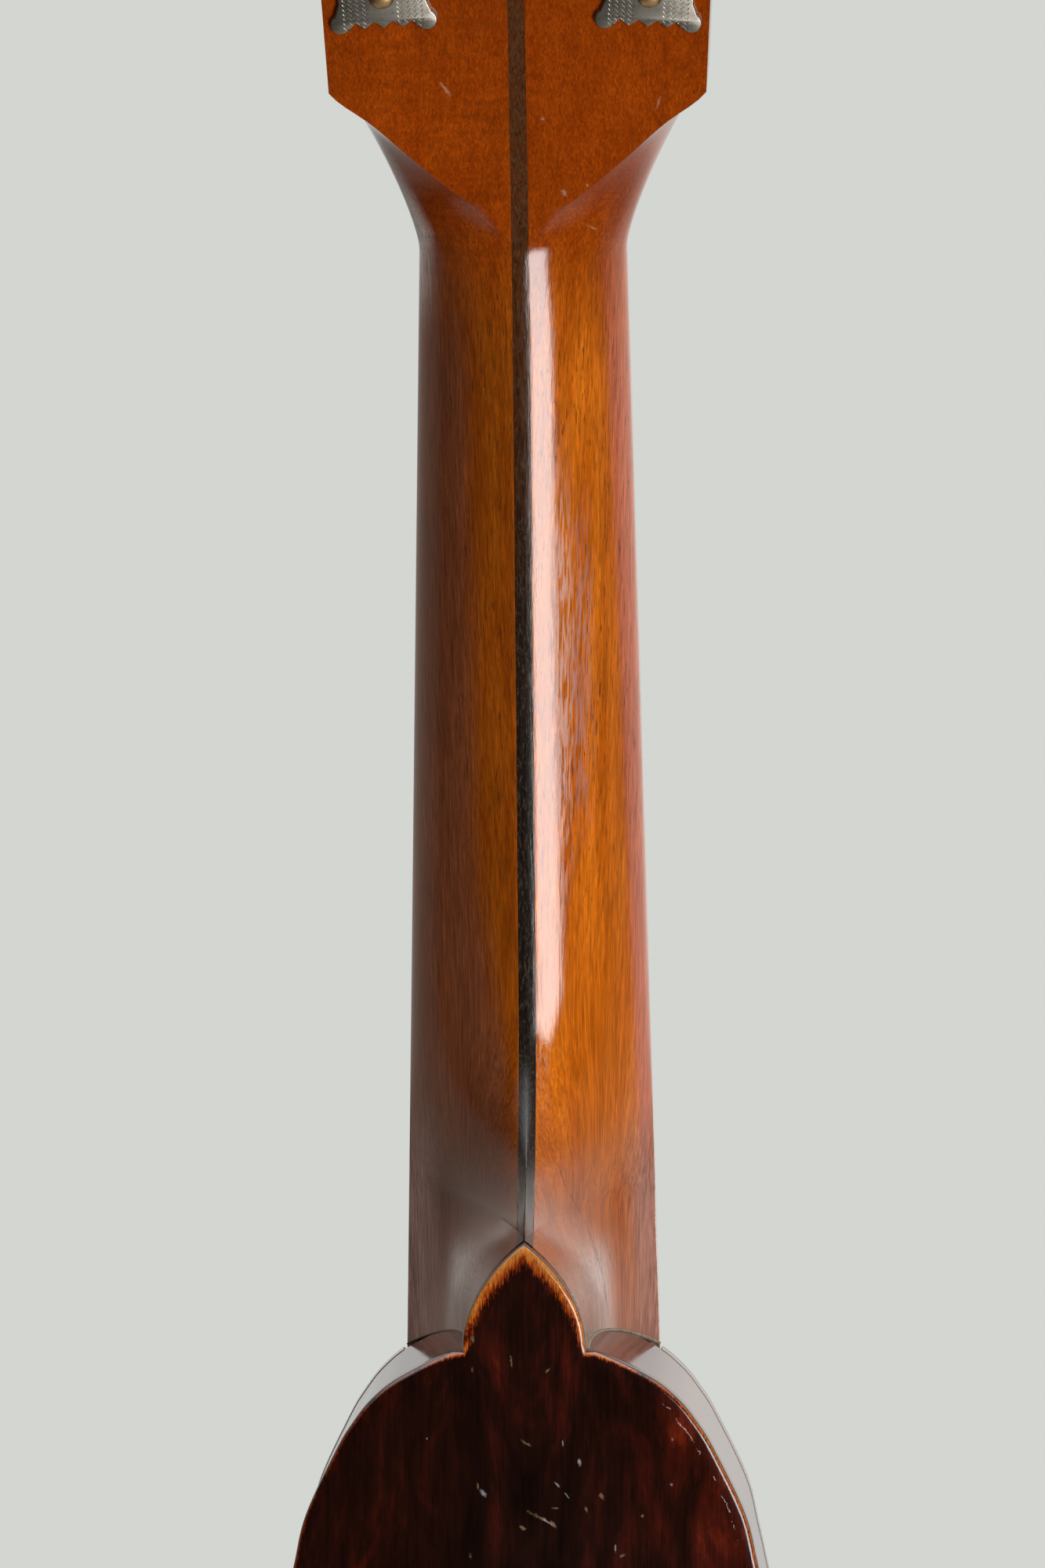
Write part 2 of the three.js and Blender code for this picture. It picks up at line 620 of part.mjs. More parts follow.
const HEAD_STATION_SHARES = [0.9995, 0.99, 0.965, 0.93, 0.6, 0.25];
const FLARE_STATION_SHARES = [1, 0.95, 0.86, 0.72, 0.54, 0.36, 0.18];
const HEEL_STATION_SHARES = [0, 0.25, 0.45, 0.62, 0.76, 0.87, 0.95, 1];
const NECK_STATION_SHARES = [0, 0.07, 0.14, 0.3, 0.6, 0.85];
const CAP_STATION_SHARES = [0.12, 0.3, 0.5, 0.75, 1, 1.5, 2.4];
function neckBlank() {
  const places = [
    ...HEAD_STATION_SHARES.map((share) => -HEAD_LENGTH * share),
    ...FLARE_STATION_SHARES.map((share) => -HEAD_CORNER * share),
    ...NECK_STATION_SHARES.map((share) => HEEL_START_S * share),
    ...HEEL_STATION_SHARES.map((share) => HEEL_START_S + HEEL_CURVE * share),
    ...CAP_STATION_SHARES.map((share) => HEEL_POINT_S + BUTTON_LENGTH * share),
  ];
  return solidOf(skin([...new Set(places)].sort((a, b) => a - b).map(neckRing)));
}

// The dovetail tenon, grown by gap on every side
function tenon(gap) {
  const root = NECK_END_Z + RIM_THICKNESS;
  const end = NECK_END_Z - RIM_THICKNESS - TENON_LENGTH - gap;
  const narrow = TENON_HALF_WIDTH + gap;
  const wide = narrow + TENON_FLARE;
  const shoulder = NECK_END_Z - RIM_THICKNESS;
  const half = [[narrow, root], [narrow, shoulder], [wide, end]];
  const outline = mirrored(half);
  return solidOf(prism(outline, TOP_INNER + GLUE_GAP - gap, BACK_INNER - GLUE_GAP + gap));
}

function tunerPlace(side, index) {
  const along = index * TUNER_SPACING;
  return new THREE.Vector3(
    side * (FIRST_TUNER_X + along * Math.sin(PLATE_LEAN)),
    HEAD_THICKNESS,
    FIRST_TUNER + along * Math.cos(PLATE_LEAN),
  );
}

const headMatrix = new THREE.Matrix4().makeRotationX(-HEAD_TILT).setPosition(NUT);
const neckMatrix = new THREE.Matrix4().makeRotationX(-NECK_ANGLE).setPosition(NUT);
const intoHead = headMatrix.clone().invert().elements;
const intoNeck = neckMatrix.clone().invert().elements;

function postHoles(radius) {
  const holes = [];
  for (const side of [-1, 1])
    for (let i = 0; i < TUNERS_PER_SIDE; i++) {
      const place = tunerPlace(side, i);
      const hole = bore(radius, 3 * HEAD_THICKNESS);
      hole.translate(place.x, place.y / 2, place.z);
      holes.push(solidOf(hole.applyMatrix4(headMatrix)));
    }
  return wasm.Manifold.union(holes);
}

function neckPieces() {
  const bodyWall = solidOf(prism(fullOutline(-CUT_GAP), FRONT - BODY_DEPTH, BACK + BODY_DEPTH));
  const pastButton = NECK_END_Z + BUTTON_LENGTH + OVERRUN;
  const beyondHeel = solidOf(
    box(-BODY_WIDTH, BODY_WIDTH, BACK_INNER - GLUE_GAP, 2 * BODY_DEPTH, TAIL_Z, pastButton),
  );
  const whole = neckBlank()
    .subtract(bodyWall)
    .subtract(beyondHeel)
    .add(tenon(0))
    .subtract(postHoles(POST_RADIUS + POST_CLEARANCE));
  const edge = CENTER_STRIP_WIDTH / 2;
  const far = BODY_WIDTH;
  const slab = (x0, x1) => solidOf(box(x0, x1, -far, far, -far, 4 * far));
  return {
    bass: whole.intersect(slab(-far, -edge)),
    strip: whole.intersect(slab(-edge + GLUE_GAP, edge - GLUE_GAP)),
    treble: whole.intersect(slab(edge, far)),
  };
}

// Assembly
const mandola = new THREE.Group();
const neckGroup = new THREE.Group();
neckGroup.position.copy(NUT);
neckGroup.rotation.x = -NECK_ANGLE;
const headGroup = new THREE.Group();
headGroup.position.copy(NUT);
headGroup.rotation.x = -HEAD_TILT;
mandola.add(neckGroup, headGroup);

function add(parent, name, shape, material) {
  const geometry = shape.isBufferGeometry ? shape : geometryOf(shape);
  const mesh = new THREE.Mesh(geometry, material);
  mesh.name = name;
  parent.add(mesh);
  return mesh;
}

// Back plate with the button over the heel
function backPlate() {
  const outline = fullOutline(-PLATE_OVERHANG);
  const hollow = BACK_ARCH + BACK_EDGE - BACK_THICKNESS;
  const plate = solidOf(carvedPlate(outline, 1, BACK, BACK_INNER, BACK_ARCH, hollow));
  const half = Array.from({ length: BUTTON_STEPS + 1 }, (_, i) => {
    const z = NECK_END_Z + (BUTTON_LENGTH * i) / BUTTON_STEPS;
    return [buttonHalfWidth(z), z];
  });
  const button = mirrored([[BUTTON_HALF_WIDTH, NECK_END_Z - OVERRUN / 2], ...half]);
  return plate.add(solidOf(prism(button, BACK_INNER, BACK)));
}

// Top plate with its sound hole and the channel for the inlaid ring
function topPlate() {
  const hollow = TOP_ARCH + TOP_EDGE - TOP_THICKNESS;
  const plate = solidOf(carvedPlate(fullOutline(TOP_INSET), -1, FRONT, TOP_INNER, TOP_ARCH, hollow));
  const hole = solidOf(prism(holeEllipse(0, HOLE_STEPS), FRONT - 2 * TOP_ARCH, BACK));
  const play = CUT_GAP / 2;
  const outer = ROSETTE_INSET + ROSETTE_WIDTH;
  const channel = holeRing(ROSETTE_INSET - play, outer + play, TOP_EDGE, ROSETTE_DEPTH + CUT_GAP);
  return plate.subtract(hole).subtract(solidOf(channel));
}

// All that lies behind the top's face, raised by gap: what stands on the top is cut with it
function belowTop(gap) {
  return solidOf(carvedPlate(fullOutline(TOP_INSET), -1, FRONT - gap, BACK, TOP_ARCH, 0));
}

const topSolid = topPlate();
add(mandola, "top_plate", topSolid, materials.top);
add(mandola, "back_plate", backPlate(), materials.back);
const inlay = holeRing(ROSETTE_INSET, ROSETTE_INSET + ROSETTE_WIDTH, 0, ROSETTE_DEPTH);
add(mandola, "soundhole_ring", inlay, materials.binding);

// Sides, linings, blocks and brace
const SIDES = [["bass", -1], ["treble", 1]];
const wallLow = TOP_INNER + GLUE_GAP;
const wallHigh = BACK_INNER - GLUE_GAP;
const pinHole = solidOf(
  bore(PIN_SHAFT_RADIUS + CUT_GAP, 4 * TAIL_BLOCK_LENGTH).rotateX(Math.PI / 2).translate(0, 0, TAIL_Z),
);
const liningOuter = RIM_THICKNESS + GLUE_GAP;
const liningInner = liningOuter + LINING_WIDTH;
for (const [name, side] of SIDES) {
  const wall = solidOf(sideBand(side, 0, RIM_THICKNESS, TENON_HALF_WIDTH + CUT_GAP, 0, wallLow, wallHigh));
  add(mandola, `rim_${name}`, wall.subtract(pinHole), materials.rim);
  const blockX = BLOCK_HALF_WIDTH + GLUE_GAP;
  const lining = (low, high) => sideBand(side, liningOuter, liningInner, blockX, blockX, low, high);
  add(mandola, `lining_top_${name}`, lining(wallLow, wallLow + LINING_HEIGHT), materials.inner);
  add(mandola, `lining_back_${name}`, lining(wallHigh - LINING_HEIGHT, wallHigh), materials.inner);
}

// Blocks at both ends, cut to the inside of the sides
const cavity = solidOf(prism(fullOutline(liningOuter), wallLow, wallHigh));
function endBlock(low, high) {
  return cavity.intersect(solidOf(box(-BLOCK_HALF_WIDTH, BLOCK_HALF_WIDTH, FRONT, BACK, low, high)));
}
const neckBlock = endBlock(NECK_END_Z - NECK_BLOCK_LENGTH, NECK_END_Z).subtract(tenon(CUT_GAP));
add(mandola, "neck_block", neckBlock, materials.inner);
add(mandola, "tail_block", endBlock(TAIL_Z, TAIL_Z + TAIL_BLOCK_LENGTH).subtract(pinHole), materials.inner);

// Brace across the top below the sound hole, shaped to the top's inside
function topBrace() {
  const z = SOUND_HOLE_Z - SOUND_HOLE_HEIGHT / 2 - ROSETTE_INSET - BRACE_WIDTH;
  const low = z - BRACE_WIDTH / 2;
  const high = z + BRACE_WIDTH / 2;
  const reach = fullOutline(liningInner + CUT_GAP, 4 * OUTLINE_SPANS)
    .filter(([x, pointZ]) => x > 0 && pointZ > low - BRACE_WIDTH && pointZ < high + BRACE_WIDTH)
    .reduce((least, [x]) => Math.min(least, x), BODY_WIDTH);
  const hollow = TOP_ARCH + TOP_EDGE - TOP_THICKNESS;
  const span = solidOf(box(-reach, reach, TOP_INNER - TOP_ARCH, TOP_INNER + BRACE_HEIGHT / 2, low, high));
  const above = carvedPlate(fullOutline(0), -1, FRONT - 2 * TOP_ARCH, TOP_INNER + CUT_GAP, TOP_ARCH, hollow);
  const below = carvedPlate(fullOutline(-OVERRUN), -1, TOP_INNER + BRACE_HEIGHT, BACK, TOP_ARCH, 0);
  return span.subtract(solidOf(above)).subtract(solidOf(below));
}
add(mandola, "top_brace", topBrace(), materials.inner);

// Binding round the top's edge, open where the neck crosses it
function topBinding() {
  const gapX = JOINT_HALF_WIDTH + CUT_GAP;
  const out = sideOutline(1, -TOP_OVERHANG, gapX, 0);
  const inner = sideOutline(1, BINDING_WIDTH - TOP_OVERHANG, gapX, 0);
  const flip = (points) => points.slice(0, -1).reverse().map(([x, z]) => [-x, z]);
  return prism([...out, ...flip(out), ...[...inner, ...flip(inner)].reverse()], FRONT, TOP_INNER);
}
add(mandola, "top_binding", topBinding(), materials.binding);

// Neck halves and centre strip
const neck = neckPieces();
add(mandola, "neck_bass_half", neck.bass, materials.neck);
add(mandola, "neck_treble_half", neck.treble, materials.neck);
add(mandola, "neck_center_strip", neck.strip, materials.strip);

// Headstock veneer, in the headstock's frame
function veneer() {
  const start = NUT_LENGTH + GLUE_GAP;
  const places = [
    start,
    ...FLARE_STATION_SHARES.map((share) => HEAD_CORNER * share),
    ...HEAD_STATION_SHARES.map((share) => HEAD_LENGTH * share),
  ];
  const half = places
    .filter((up) => up >= start)
    .sort((a, b) => a - b)
    .map((up) => [headHalfWidth(up), up]);
  const sheet = solidOf(prism(mirrored(half), -VENEER_THICKNESS, -GLUE_GAP));
  return sheet.subtract(postHoles(POST_RADIUS + POST_CLEARANCE).transform(intoHead));
}
add(headGroup, "headstock_veneer", veneer(), materials.ebony);

// Fingerboard with its frets, in the neck's frame: z is minus the distance from the nut
function boardOutline(inset, end) {
  const wide = (s) => boardHalfWidth(s) - inset;
  return [[-wide(0), -GLUE_GAP], [wide(0), -GLUE_GAP], [wide(end), -end], [-wide(end), -end]];
}

function fret(s) {
  const half = boardHalfWidth(s) - BOARD_BINDING - GLUE_GAP;
  const foot = -BOARD_THICKNESS + FRET_SEAT;
  const crown = -BOARD_THICKNESS - FRET_HEIGHT;
  const profile = [
    [-s - FRET_WIDTH / 2, foot],
    [-s - FRET_CROWN_WIDTH / 2, crown],
    [-s + FRET_CROWN_WIDTH / 2, crown],
    [-s + FRET_WIDTH / 2, foot],
  ];
  return solidOf(rail(profile, -half, half));
}

// The part of the fingerboard that lies over the body stands on a pad cut to the top's arch
function boardPad() {
  const half = boardHalfWidth(JOINT_S) - 2 * BOARD_BINDING;
  const low = -BOARD_LENGTH + 2 * BOARD_BINDING;
  const high = -JOINT_S - 2 * OVERRUN;
  const pad = solidOf(box(-half, half, -GLUE_GAP - FRET_SEAT, TOP_ARCH, low, high));
  return pad.subtract(belowTop(GLUE_GAP).transform(intoNeck));
}

function fingerboard() {
  const outline = boardOutline(BOARD_BINDING + GLUE_GAP, BOARD_LENGTH - BOARD_BINDING);
  let board = solidOf(prism(outline, -BOARD_THICKNESS, -GLUE_GAP));
  for (let n = 1; n <= FRET_COUNT; n++) board = board.add(fret(fretPlace(n)));
  return board.add(boardPad());
}
add(neckGroup, "fingerboard", fingerboard(), materials.ebony);

function boardBinding() {
  const outer = boardOutline(0, BOARD_LENGTH);
  const inner = boardOutline(BOARD_BINDING, BOARD_LENGTH - BOARD_BINDING);
  const outline = [outer[0], outer[3], outer[2], outer[1], inner[1], inner[2], inner[3], inner[0]];
  return prism(outline, -BOARD_THICKNESS, -GLUE_GAP);
}
add(neckGroup, "fingerboard_binding", boardBinding(), materials.binding);

// Strings: where each one crosses the bridge and the nut, bass to treble
const middleCourse = (COURSE_RADII.length - 1) / 2;
const stringPlan = COURSE_RADII.flatMap((radius, course) =>
  [-1, 1].map((mate) => ({
    radius,
    nutX: (course - middleCourse) * COURSE_SPACING_NUT + (mate * PAIR_SPACING_NUT) / 2,
    bridgeX: (course - middleCourse) * COURSE_SPACING_BRIDGE + (mate * PAIR_SPACING_BRIDGE) / 2,
  })),
);
const NUT_TOP = BOARD_THICKNESS + NUT_RISE;
const BRIDGE_TOP = BOARD_THICKNESS + BRIDGE_RISE;

// The string slots across a piece whose crest is at top; key names where the strings cross it
function stringSlots(key, top, low, high) {
  const slots = stringPlan.map((plan) => {
    const half = plan.radius + SLOT_CLEARANCE;
    return solidOf(box(plan[key] - half, plan[key] + half, -top - OVERRUN, -top + SLOT_DEPTH, low, high));
  });
  return wasm.Manifold.union(slots);
}

function nut() {
  const profile = [
    [0, -GLUE_GAP],
    [0, -NUT_TOP],
    [NUT_LENGTH / 2, -NUT_TOP],
    [NUT_LENGTH, -BOARD_THICKNESS],
    [
      NUT_LENGTH * Math.cos(HEAD_ANGLE) + GLUE_GAP * Math.sin(HEAD_ANGLE),
      NUT_LENGTH * Math.sin(HEAD_ANGLE) - GLUE_GAP,
    ],
  ];
  const blank = solidOf(rail(profile, -NUT_HALF_WIDTH, NUT_HALF_WIDTH));
  return blank.subtract(stringSlots("nutX", NUT_TOP, -NUT_LENGTH, 2 * NUT_LENGTH));
}
add(neckGroup, "nut", nut(), materials.bone);

// One-piece bridge, carved underneath to the top's arch, in the neck's frame
function bridge() {
  const wing = TOP_ARCH / 2 - BRIDGE_TOP + BRIDGE_WING_HEIGHT;
  const shoulder = wing - BRIDGE_WING_HEIGHT / 2;
  const half = [
    [BRIDGE_HALF_LENGTH, TOP_ARCH],
    [BRIDGE_HALF_LENGTH, wing],
    [BRIDGE_SADDLE_HALF_LENGTH + BRIDGE_WING_HEIGHT, shoulder],
    [BRIDGE_SADDLE_HALF_LENGTH, -BRIDGE_TOP + BRIDGE_SADDLE_BEVEL / 3],
    [BRIDGE_SADDLE_HALF_LENGTH - BRIDGE_SADDLE_BEVEL, -BRIDGE_TOP],
  ];
  const low = -BRIDGE_S - BRIDGE_THICKNESS / 2;
  const high = -BRIDGE_S + BRIDGE_THICKNESS / 2;
  const blank = solidOf(bar(mirrored(half), low, high));
  const crest = BRIDGE_CREST_WIDTH / 2;
  const shave = (from, to) => solidOf(box(-BODY_WIDTH, BODY_WIDTH, -2 * BRIDGE_TOP, shoulder, from, to));
  return blank
    .subtract(belowTop(GLUE_GAP).transform(intoNeck))
    .subtract(shave(low - OVERRUN, -BRIDGE_S - crest))
    .subtract(shave(-BRIDGE_S + crest, high + OVERRUN))
    .subtract(stringSlots("bridgeX", BRIDGE_TOP, low - OVERRUN, high + OVERRUN));
}
add(neckGroup, "bridge", bridge(), materials.ebony);

// Tailpiece, in a frame that slopes up over the top's arch: y is the way in, z runs towards the bridge
const TAIL_ANGLE = Math.atan((topHeight(0, TAIL_Z + TAIL_LENGTH) + GLUE_GAP) / TAIL_LENGTH);
const tailGroup = new THREE.Group();
tailGroup.position.set(0, FRONT - TAIL_LIFT, TAIL_Z - PLATE_OVERHANG);
tailGroup.rotation.x = TAIL_ANGLE;
mandola.add(tailGroup);
tailGroup.updateMatrixWorld(true);
const hookX = (bridgeX) => (bridgeX * TAIL_WIDTH) / (COURSE_SPACING_BRIDGE * COURSE_RADII.length);

function tailpieceBase() {
  const half = TAIL_WIDTH / 2;
  const outside = -TAIL_PLATE - CUT_GAP - PLATE_OVERHANG;
  const plate = solidOf(box(-half, half, -TAIL_PLATE, 0, outside, TAIL_LENGTH));
  const leg = solidOf(box(-half, half, -TAIL_PLATE, TAIL_LEG, outside, outside + TAIL_PLATE));
  const hooks = stringPlan.map(({ bridgeX }) => {
    const left = hookX(bridgeX) - HOOK_WIDTH / 2;
    const crest = -TAIL_PLATE - HOOK_HEIGHT;
    const start = HOOK_PLACE - HOOK_WIDTH;
    return solidOf(box(left, left + HOOK_WIDTH, crest, -TAIL_PLATE / 2, start, HOOK_PLACE));
  });
  return wasm.Manifold.union([plate, leg, ...hooks]);
}
add(tailGroup, "tailpiece_base", tailpieceBase(), materials.nickel);

// Sliding cover: a bent sheet, flat at its edges and rounded over the strings' ends
function tailpieceCover() {
  const inner = TAIL_WIDTH / 2 + COVER_CLEARANCE;
  const edge = -CUT_GAP / 3;
  const arc = (half, rise) =>
    Array.from({ length: COVER_STEPS + 1 }, (_, i) => {
      const across = (2 * i) / COVER_STEPS - 1;
      const round = (1 - COVER_SHOULDER_SHARE) * Math.sqrt(1 - across * across);
      return [across * half, -rise * (COVER_SHOULDER_SHARE + round)];
    });
  const wrap = (half, rise) => [[-half, edge], ...arc(half, rise), [half, edge]];
  const outside = wrap(inner + COVER_WALL, COVER_HEIGHT + COVER_WALL);
  return bar([...outside, ...wrap(inner, COVER_HEIGHT).reverse()], 0, TAIL_LENGTH);
}
add(tailGroup, "tailpiece_cover", tailpieceCover(), materials.nickel);

// End pin, turned, with its shaft in the tail block
function endPin() {
  const wall = TAIL_Z - CUT_GAP;
  const profile = [
    ...PIN_SHARES.map(([out, along]) => [out * PIN_FLANGE_RADIUS, along * wall]),
    [PIN_SHAFT_RADIUS, wall],
    [PIN_SHAFT_RADIUS, wall + PIN_SHAFT_LENGTH],
    [0, wall + PIN_SHAFT_LENGTH],
  ];
  return turned(profile, PIN_SIDES).rotateX(Math.PI / 2);
}
add(mandola, "end_pin", endPin(), materials.ebony);

// Pickguard beside the fingerboard on the treble side, held off the top, in the neck's frame
function guardOutline() {
  const inner = boardHalfWidth(BOARD_LENGTH) + GUARD_GAP;
  return GUARD_SHARES.map(([across, along]) => [
    inner + GUARD_WIDTH * across,
    -GUARD_START - GUARD_LENGTH * along,
  ]);
}
const guardTop = -GUARD_LIFT;
const guardFace = guardTop + GUARD_THICKNESS;
add(neckGroup, "pickguard", prism(guardOutline(), guardTop, guardFace), materials.guard);

// Bracket from under the pickguard to the treble side's edge, and down the side
function guardBracket() {
  const z = NUT.z - BRACKET_PLACE * Math.cos(NECK_ANGLE);
  const under = NUT.y - BRACKET_PLACE * Math.sin(NECK_ANGLE) + guardFace * Math.cos(NECK_ANGLE) + CUT_GAP;
  const edge = fullOutline(-PLATE_OVERHANG, 8 * OUTLINE_SPANS)
    .filter(([x, pointZ]) => x > 0 && Math.abs(pointZ - z) < BRACKET_WIDTH)
    .reduce((most, [x]) => Math.max(most, x), 0);
  const start = boardHalfWidth(BOARD_LENGTH) + GUARD_GAP + GUARD_WIDTH / 2;
  const bend = start + GUARD_WIDTH / 2;
  const inner = edge + CUT_GAP;
  const outer = inner + BRACKET_THICKNESS;
  const outline = [
    [start, under],
    [bend, under],
    [outer, FRONT - 2 * BRACKET_THICKNESS],
    [outer, FRONT + BRACKET_LEG],
    [inner, FRONT + BRACKET_LEG],
    [inner, FRONT - BRACKET_THICKNESS],
    [bend, under + BRACKET_THICKNESS],
    [start, under + BRACKET_THICKNESS],
  ];
  return bar(outline, z - BRACKET_WIDTH / 2, z + BRACKET_WIDTH / 2);
}
add(mandola, "pickguard_bracket", guardBracket(), materials.nickel);

// Strings, each one tube from its hook over bridge and nut, then wound on its post
function stringPath({ radius, nutX, bridgeX }, side, index) {
  const inNeck = (x, s, up) => new THREE.Vector3(x, -up, -s).applyMatrix4(neckMatrix);
  const rise = radius - SLOT_DEPTH + SLOT_CLEARANCE;
  const crest = BRIDGE_CREST_WIDTH / 2;
  const hook = new THREE.Vector3(hookX(bridgeX), -TAIL_PLATE - HOOK_HEIGHT / 2, HOOK_PLACE + CUT_GAP);
  return [
    hook.applyMatrix4(tailGroup.matrixWorld),
    inNeck(bridgeX, BRIDGE_S + crest, BRIDGE_TOP + rise),
    inNeck(bridgeX, BRIDGE_S - crest, BRIDGE_TOP + rise),
    inNeck(nutX, 0, NUT_TOP + rise),
    inNeck(nutX, -NUT_LENGTH / 2, NUT_TOP + rise),
    ...windingPath(radius, side, index),
  ];
}

// The turns on the post, from the inner side of the post downwards to the headstock
function windingPath(radius, side, index) {
  const place = tunerPlace(side, index);
  const turn = POST_RADIUS + radius + SLOT_CLEARANCE;
  const steps = Math.round(WINDING_TURNS * WINDING_STEPS);
  return Array.from({ length: steps + 1 }, (_, i) => {
    const turns = i / WINDING_STEPS;
    const angle = 2 * Math.PI * turns;
    const high = VENEER_THICKNESS + WINDING_START - turns * (2 * radius + WINDING_GAP);
    const x = place.x - side * turn * Math.cos(angle);
    return new THREE.Vector3(x, -high, place.z + turn * Math.sin(angle)).applyMatrix4(headMatrix);
  });
}

// The least gap between two turns of one string, measured on its points
function leastWindingGap() {
  const gaps = stringPlan.map(({ radius }) => {
    const points = windingPath(radius, 1, 0);
    const far = points.flatMap((p, i) => points.slice(i + WINDING_STEPS / 2).map((q) => p.distanceTo(q)));
    return Math.min(...far) - 2 * radius;
  });
  return Math.min(...gaps);
}
console.log(`least gap between a string's own turns: ${leastWindingGap().toFixed(2)} mm`);

stringPlan.forEach((plan, i) => {
  const side = i < TUNERS_PER_SIDE ? -1 : 1;
  const post = side < 0 ? i : 2 * TUNERS_PER_SIDE - 1 - i;
  const material = plan.radius > COURSE_RADII[2] ? materials.bronze : materials.steel;
  add(mandola, `string_${i + 1}`, tube(stringPath(plan, side, post), plan.radius, STRING_SIDES), material);
});

// Tuner plate with its lobed and toothed ends, ears for the worms and holes for the posts
function tunerPlate() {
  const high = (TUNERS_PER_SIDE - 1) * TUNER_SPACING + PLATE_HIGH_END;
  const end = PLATE_END_SHARES.map(([x, z]) => [x * PLATE_LOBE_HALF_WIDTH, z * PLATE_LOBE_HEIGHT]);
  const half = [
    ...end.map(([x, z]) => [x, -PLATE_LOW_END + z]),
    [PLATE_HALF_WIDTH, -PLATE_LOW_END + PLATE_LOBE_HEIGHT],
    [PLATE_HALF_WIDTH, high - PLATE_LOBE_HEIGHT],
    ...[...end].reverse().map(([x, z]) => [x, high - z]),
  ];
  let plate = solidOf(prism(mirrored(half), GLUE_GAP, PLATE_THICKNESS));
  for (let i = 0; i < TUNERS_PER_SIDE; i++) {
    const z = i * TUNER_SPACING;
    const hole = bore(POST_RADIUS + PLATE_HOLE_CLEARANCE, 4 * PLATE_THICKNESS).translate(0, 0, z);
    plate = plate.subtract(solidOf(hole)).add(wormEar(-EAR_PLACE, z)).add(wormEar(EAR_PLACE, z));
  }
  return plate;
}

// One ear, standing on the plate and bored for the worm's journal
function wormEar(x, z) {
  const low = z + WORM_OFFSET - EAR_HALF_WIDTH;
  const high = z + WORM_OFFSET + EAR_HALF_WIDTH;
  const top = WORM_AXIS_HEIGHT + EAR_HALF_WIDTH;
  const ear = box(x - EAR_THICKNESS / 2, x + EAR_THICKNESS / 2, PLATE_THICKNESS / 2, top, low, high);
  const journal = crossBore(JOURNAL_RADIUS + JOURNAL_CLEARANCE, 4 * EAR_THICKNESS);
  return solidOf(ear).subtract(solidOf(journal.translate(x, WORM_AXIS_HEIGHT, z + WORM_OFFSET)));
}

// Worm on its shaft along X: a right-handed thread round the core, with journals at both ends
function worm() {
  const root = WORM_CORE_RADIUS - THREAD_SINK;
  const flank = [
    [-THREAD_ROOT_WIDTH / 2, root],
    [-THREAD_CREST_WIDTH / 2, WORM_OUTER_RADIUS],
    [THREAD_CREST_WIDTH / 2, WORM_OUTER_RADIUS],
    [THREAD_ROOT_WIDTH / 2, root],
  ];
  const rings = Array.from({ length: WORM_TURNS * WORM_STEPS + 1 }, (_, i) => {
    const turns = i / WORM_STEPS - WORM_TURNS / 2;
    const angle = 2 * Math.PI * turns + Math.PI / 2;
    const start = GEAR_PITCH * turns;
    return flank.map(
      ([along, out]) => new THREE.Vector3(start + along, out * Math.cos(angle), out * Math.sin(angle)),
    );
  });
  const inside = EAR_PLACE - EAR_THICKNESS / 2 - CUT_GAP;
  const innerEnd = EAR_PLACE + EAR_THICKNESS;
  const profile = [
    [0, -innerEnd],
    [JOURNAL_RADIUS, -innerEnd],
    [JOURNAL_RADIUS, -inside],
    [WORM_CORE_RADIUS, -inside],
    [WORM_CORE_RADIUS, inside],
    [JOURNAL_RADIUS, inside],
    [JOURNAL_RADIUS, SHAFT_LENGTH],
    [0, SHAFT_LENGTH],
  ];
  return solidOf(turned(profile, WORM_STEPS).rotateZ(-Math.PI / 2)).add(solidOf(skin(rings)));
}

// Post with its gear: the gear's teeth mesh with the worm, the post stands out in front of the headstock
function gearOutline() {
  const crest = GEAR_RADIUS + TOOTH_HALF_HEIGHT;
  const root = GEAR_RADIUS - TOOTH_HALF_HEIGHT;
  const tooth = [
    [-THREAD_ROOT_WIDTH / 2 / root, root],
    [-THREAD_CREST_WIDTH / 2 / crest, crest],
    [THREAD_CREST_WIDTH / 2 / crest, crest],
    [THREAD_ROOT_WIDTH / 2 / root, root],
  ];
  return Array.from({ length: GEAR_TEETH }, (_, i) => {
    const middle = Math.PI / 2 + (2 * Math.PI * i) / GEAR_TEETH;
    return tooth.map(([off, out]) => [out * Math.cos(middle + off), out * Math.sin(middle + off)]);
  }).flat();
}

function tunerPost() {
  const low = WORM_AXIS_HEIGHT - GEAR_THICKNESS / 2;
  const high = WORM_AXIS_HEIGHT + GEAR_THICKNESS / 2;
  const face = -HEAD_THICKNESS - VENEER_THICKNESS;
  const waistLow = face - POST_BASE_HEIGHT - POST_CHAMFER;
  const waistHigh = waistLow - POST_WAIST_LENGTH;
  const profile = [
    [0, face - POST_HEIGHT],
    [POST_RADIUS - POST_CHAMFER, face - POST_HEIGHT],
    [POST_RADIUS, face - POST_HEIGHT + POST_CHAMFER],
    [POST_RADIUS, waistHigh - POST_CHAMFER],
    [POST_WAIST_RADIUS, waistHigh],
    [POST_WAIST_RADIUS, waistLow],
    [POST_RADIUS, waistLow + POST_CHAMFER],
    [POST_RADIUS, high - GEAR_THICKNESS / 2],
    [POST_WAIST_RADIUS, high + POST_CAP_HEIGHT],
    [0, high + POST_CAP_HEIGHT],
  ];
  return solidOf(turned(profile, POST_SIDES)).add(solidOf(prism(gearOutline(), low, high)));
}

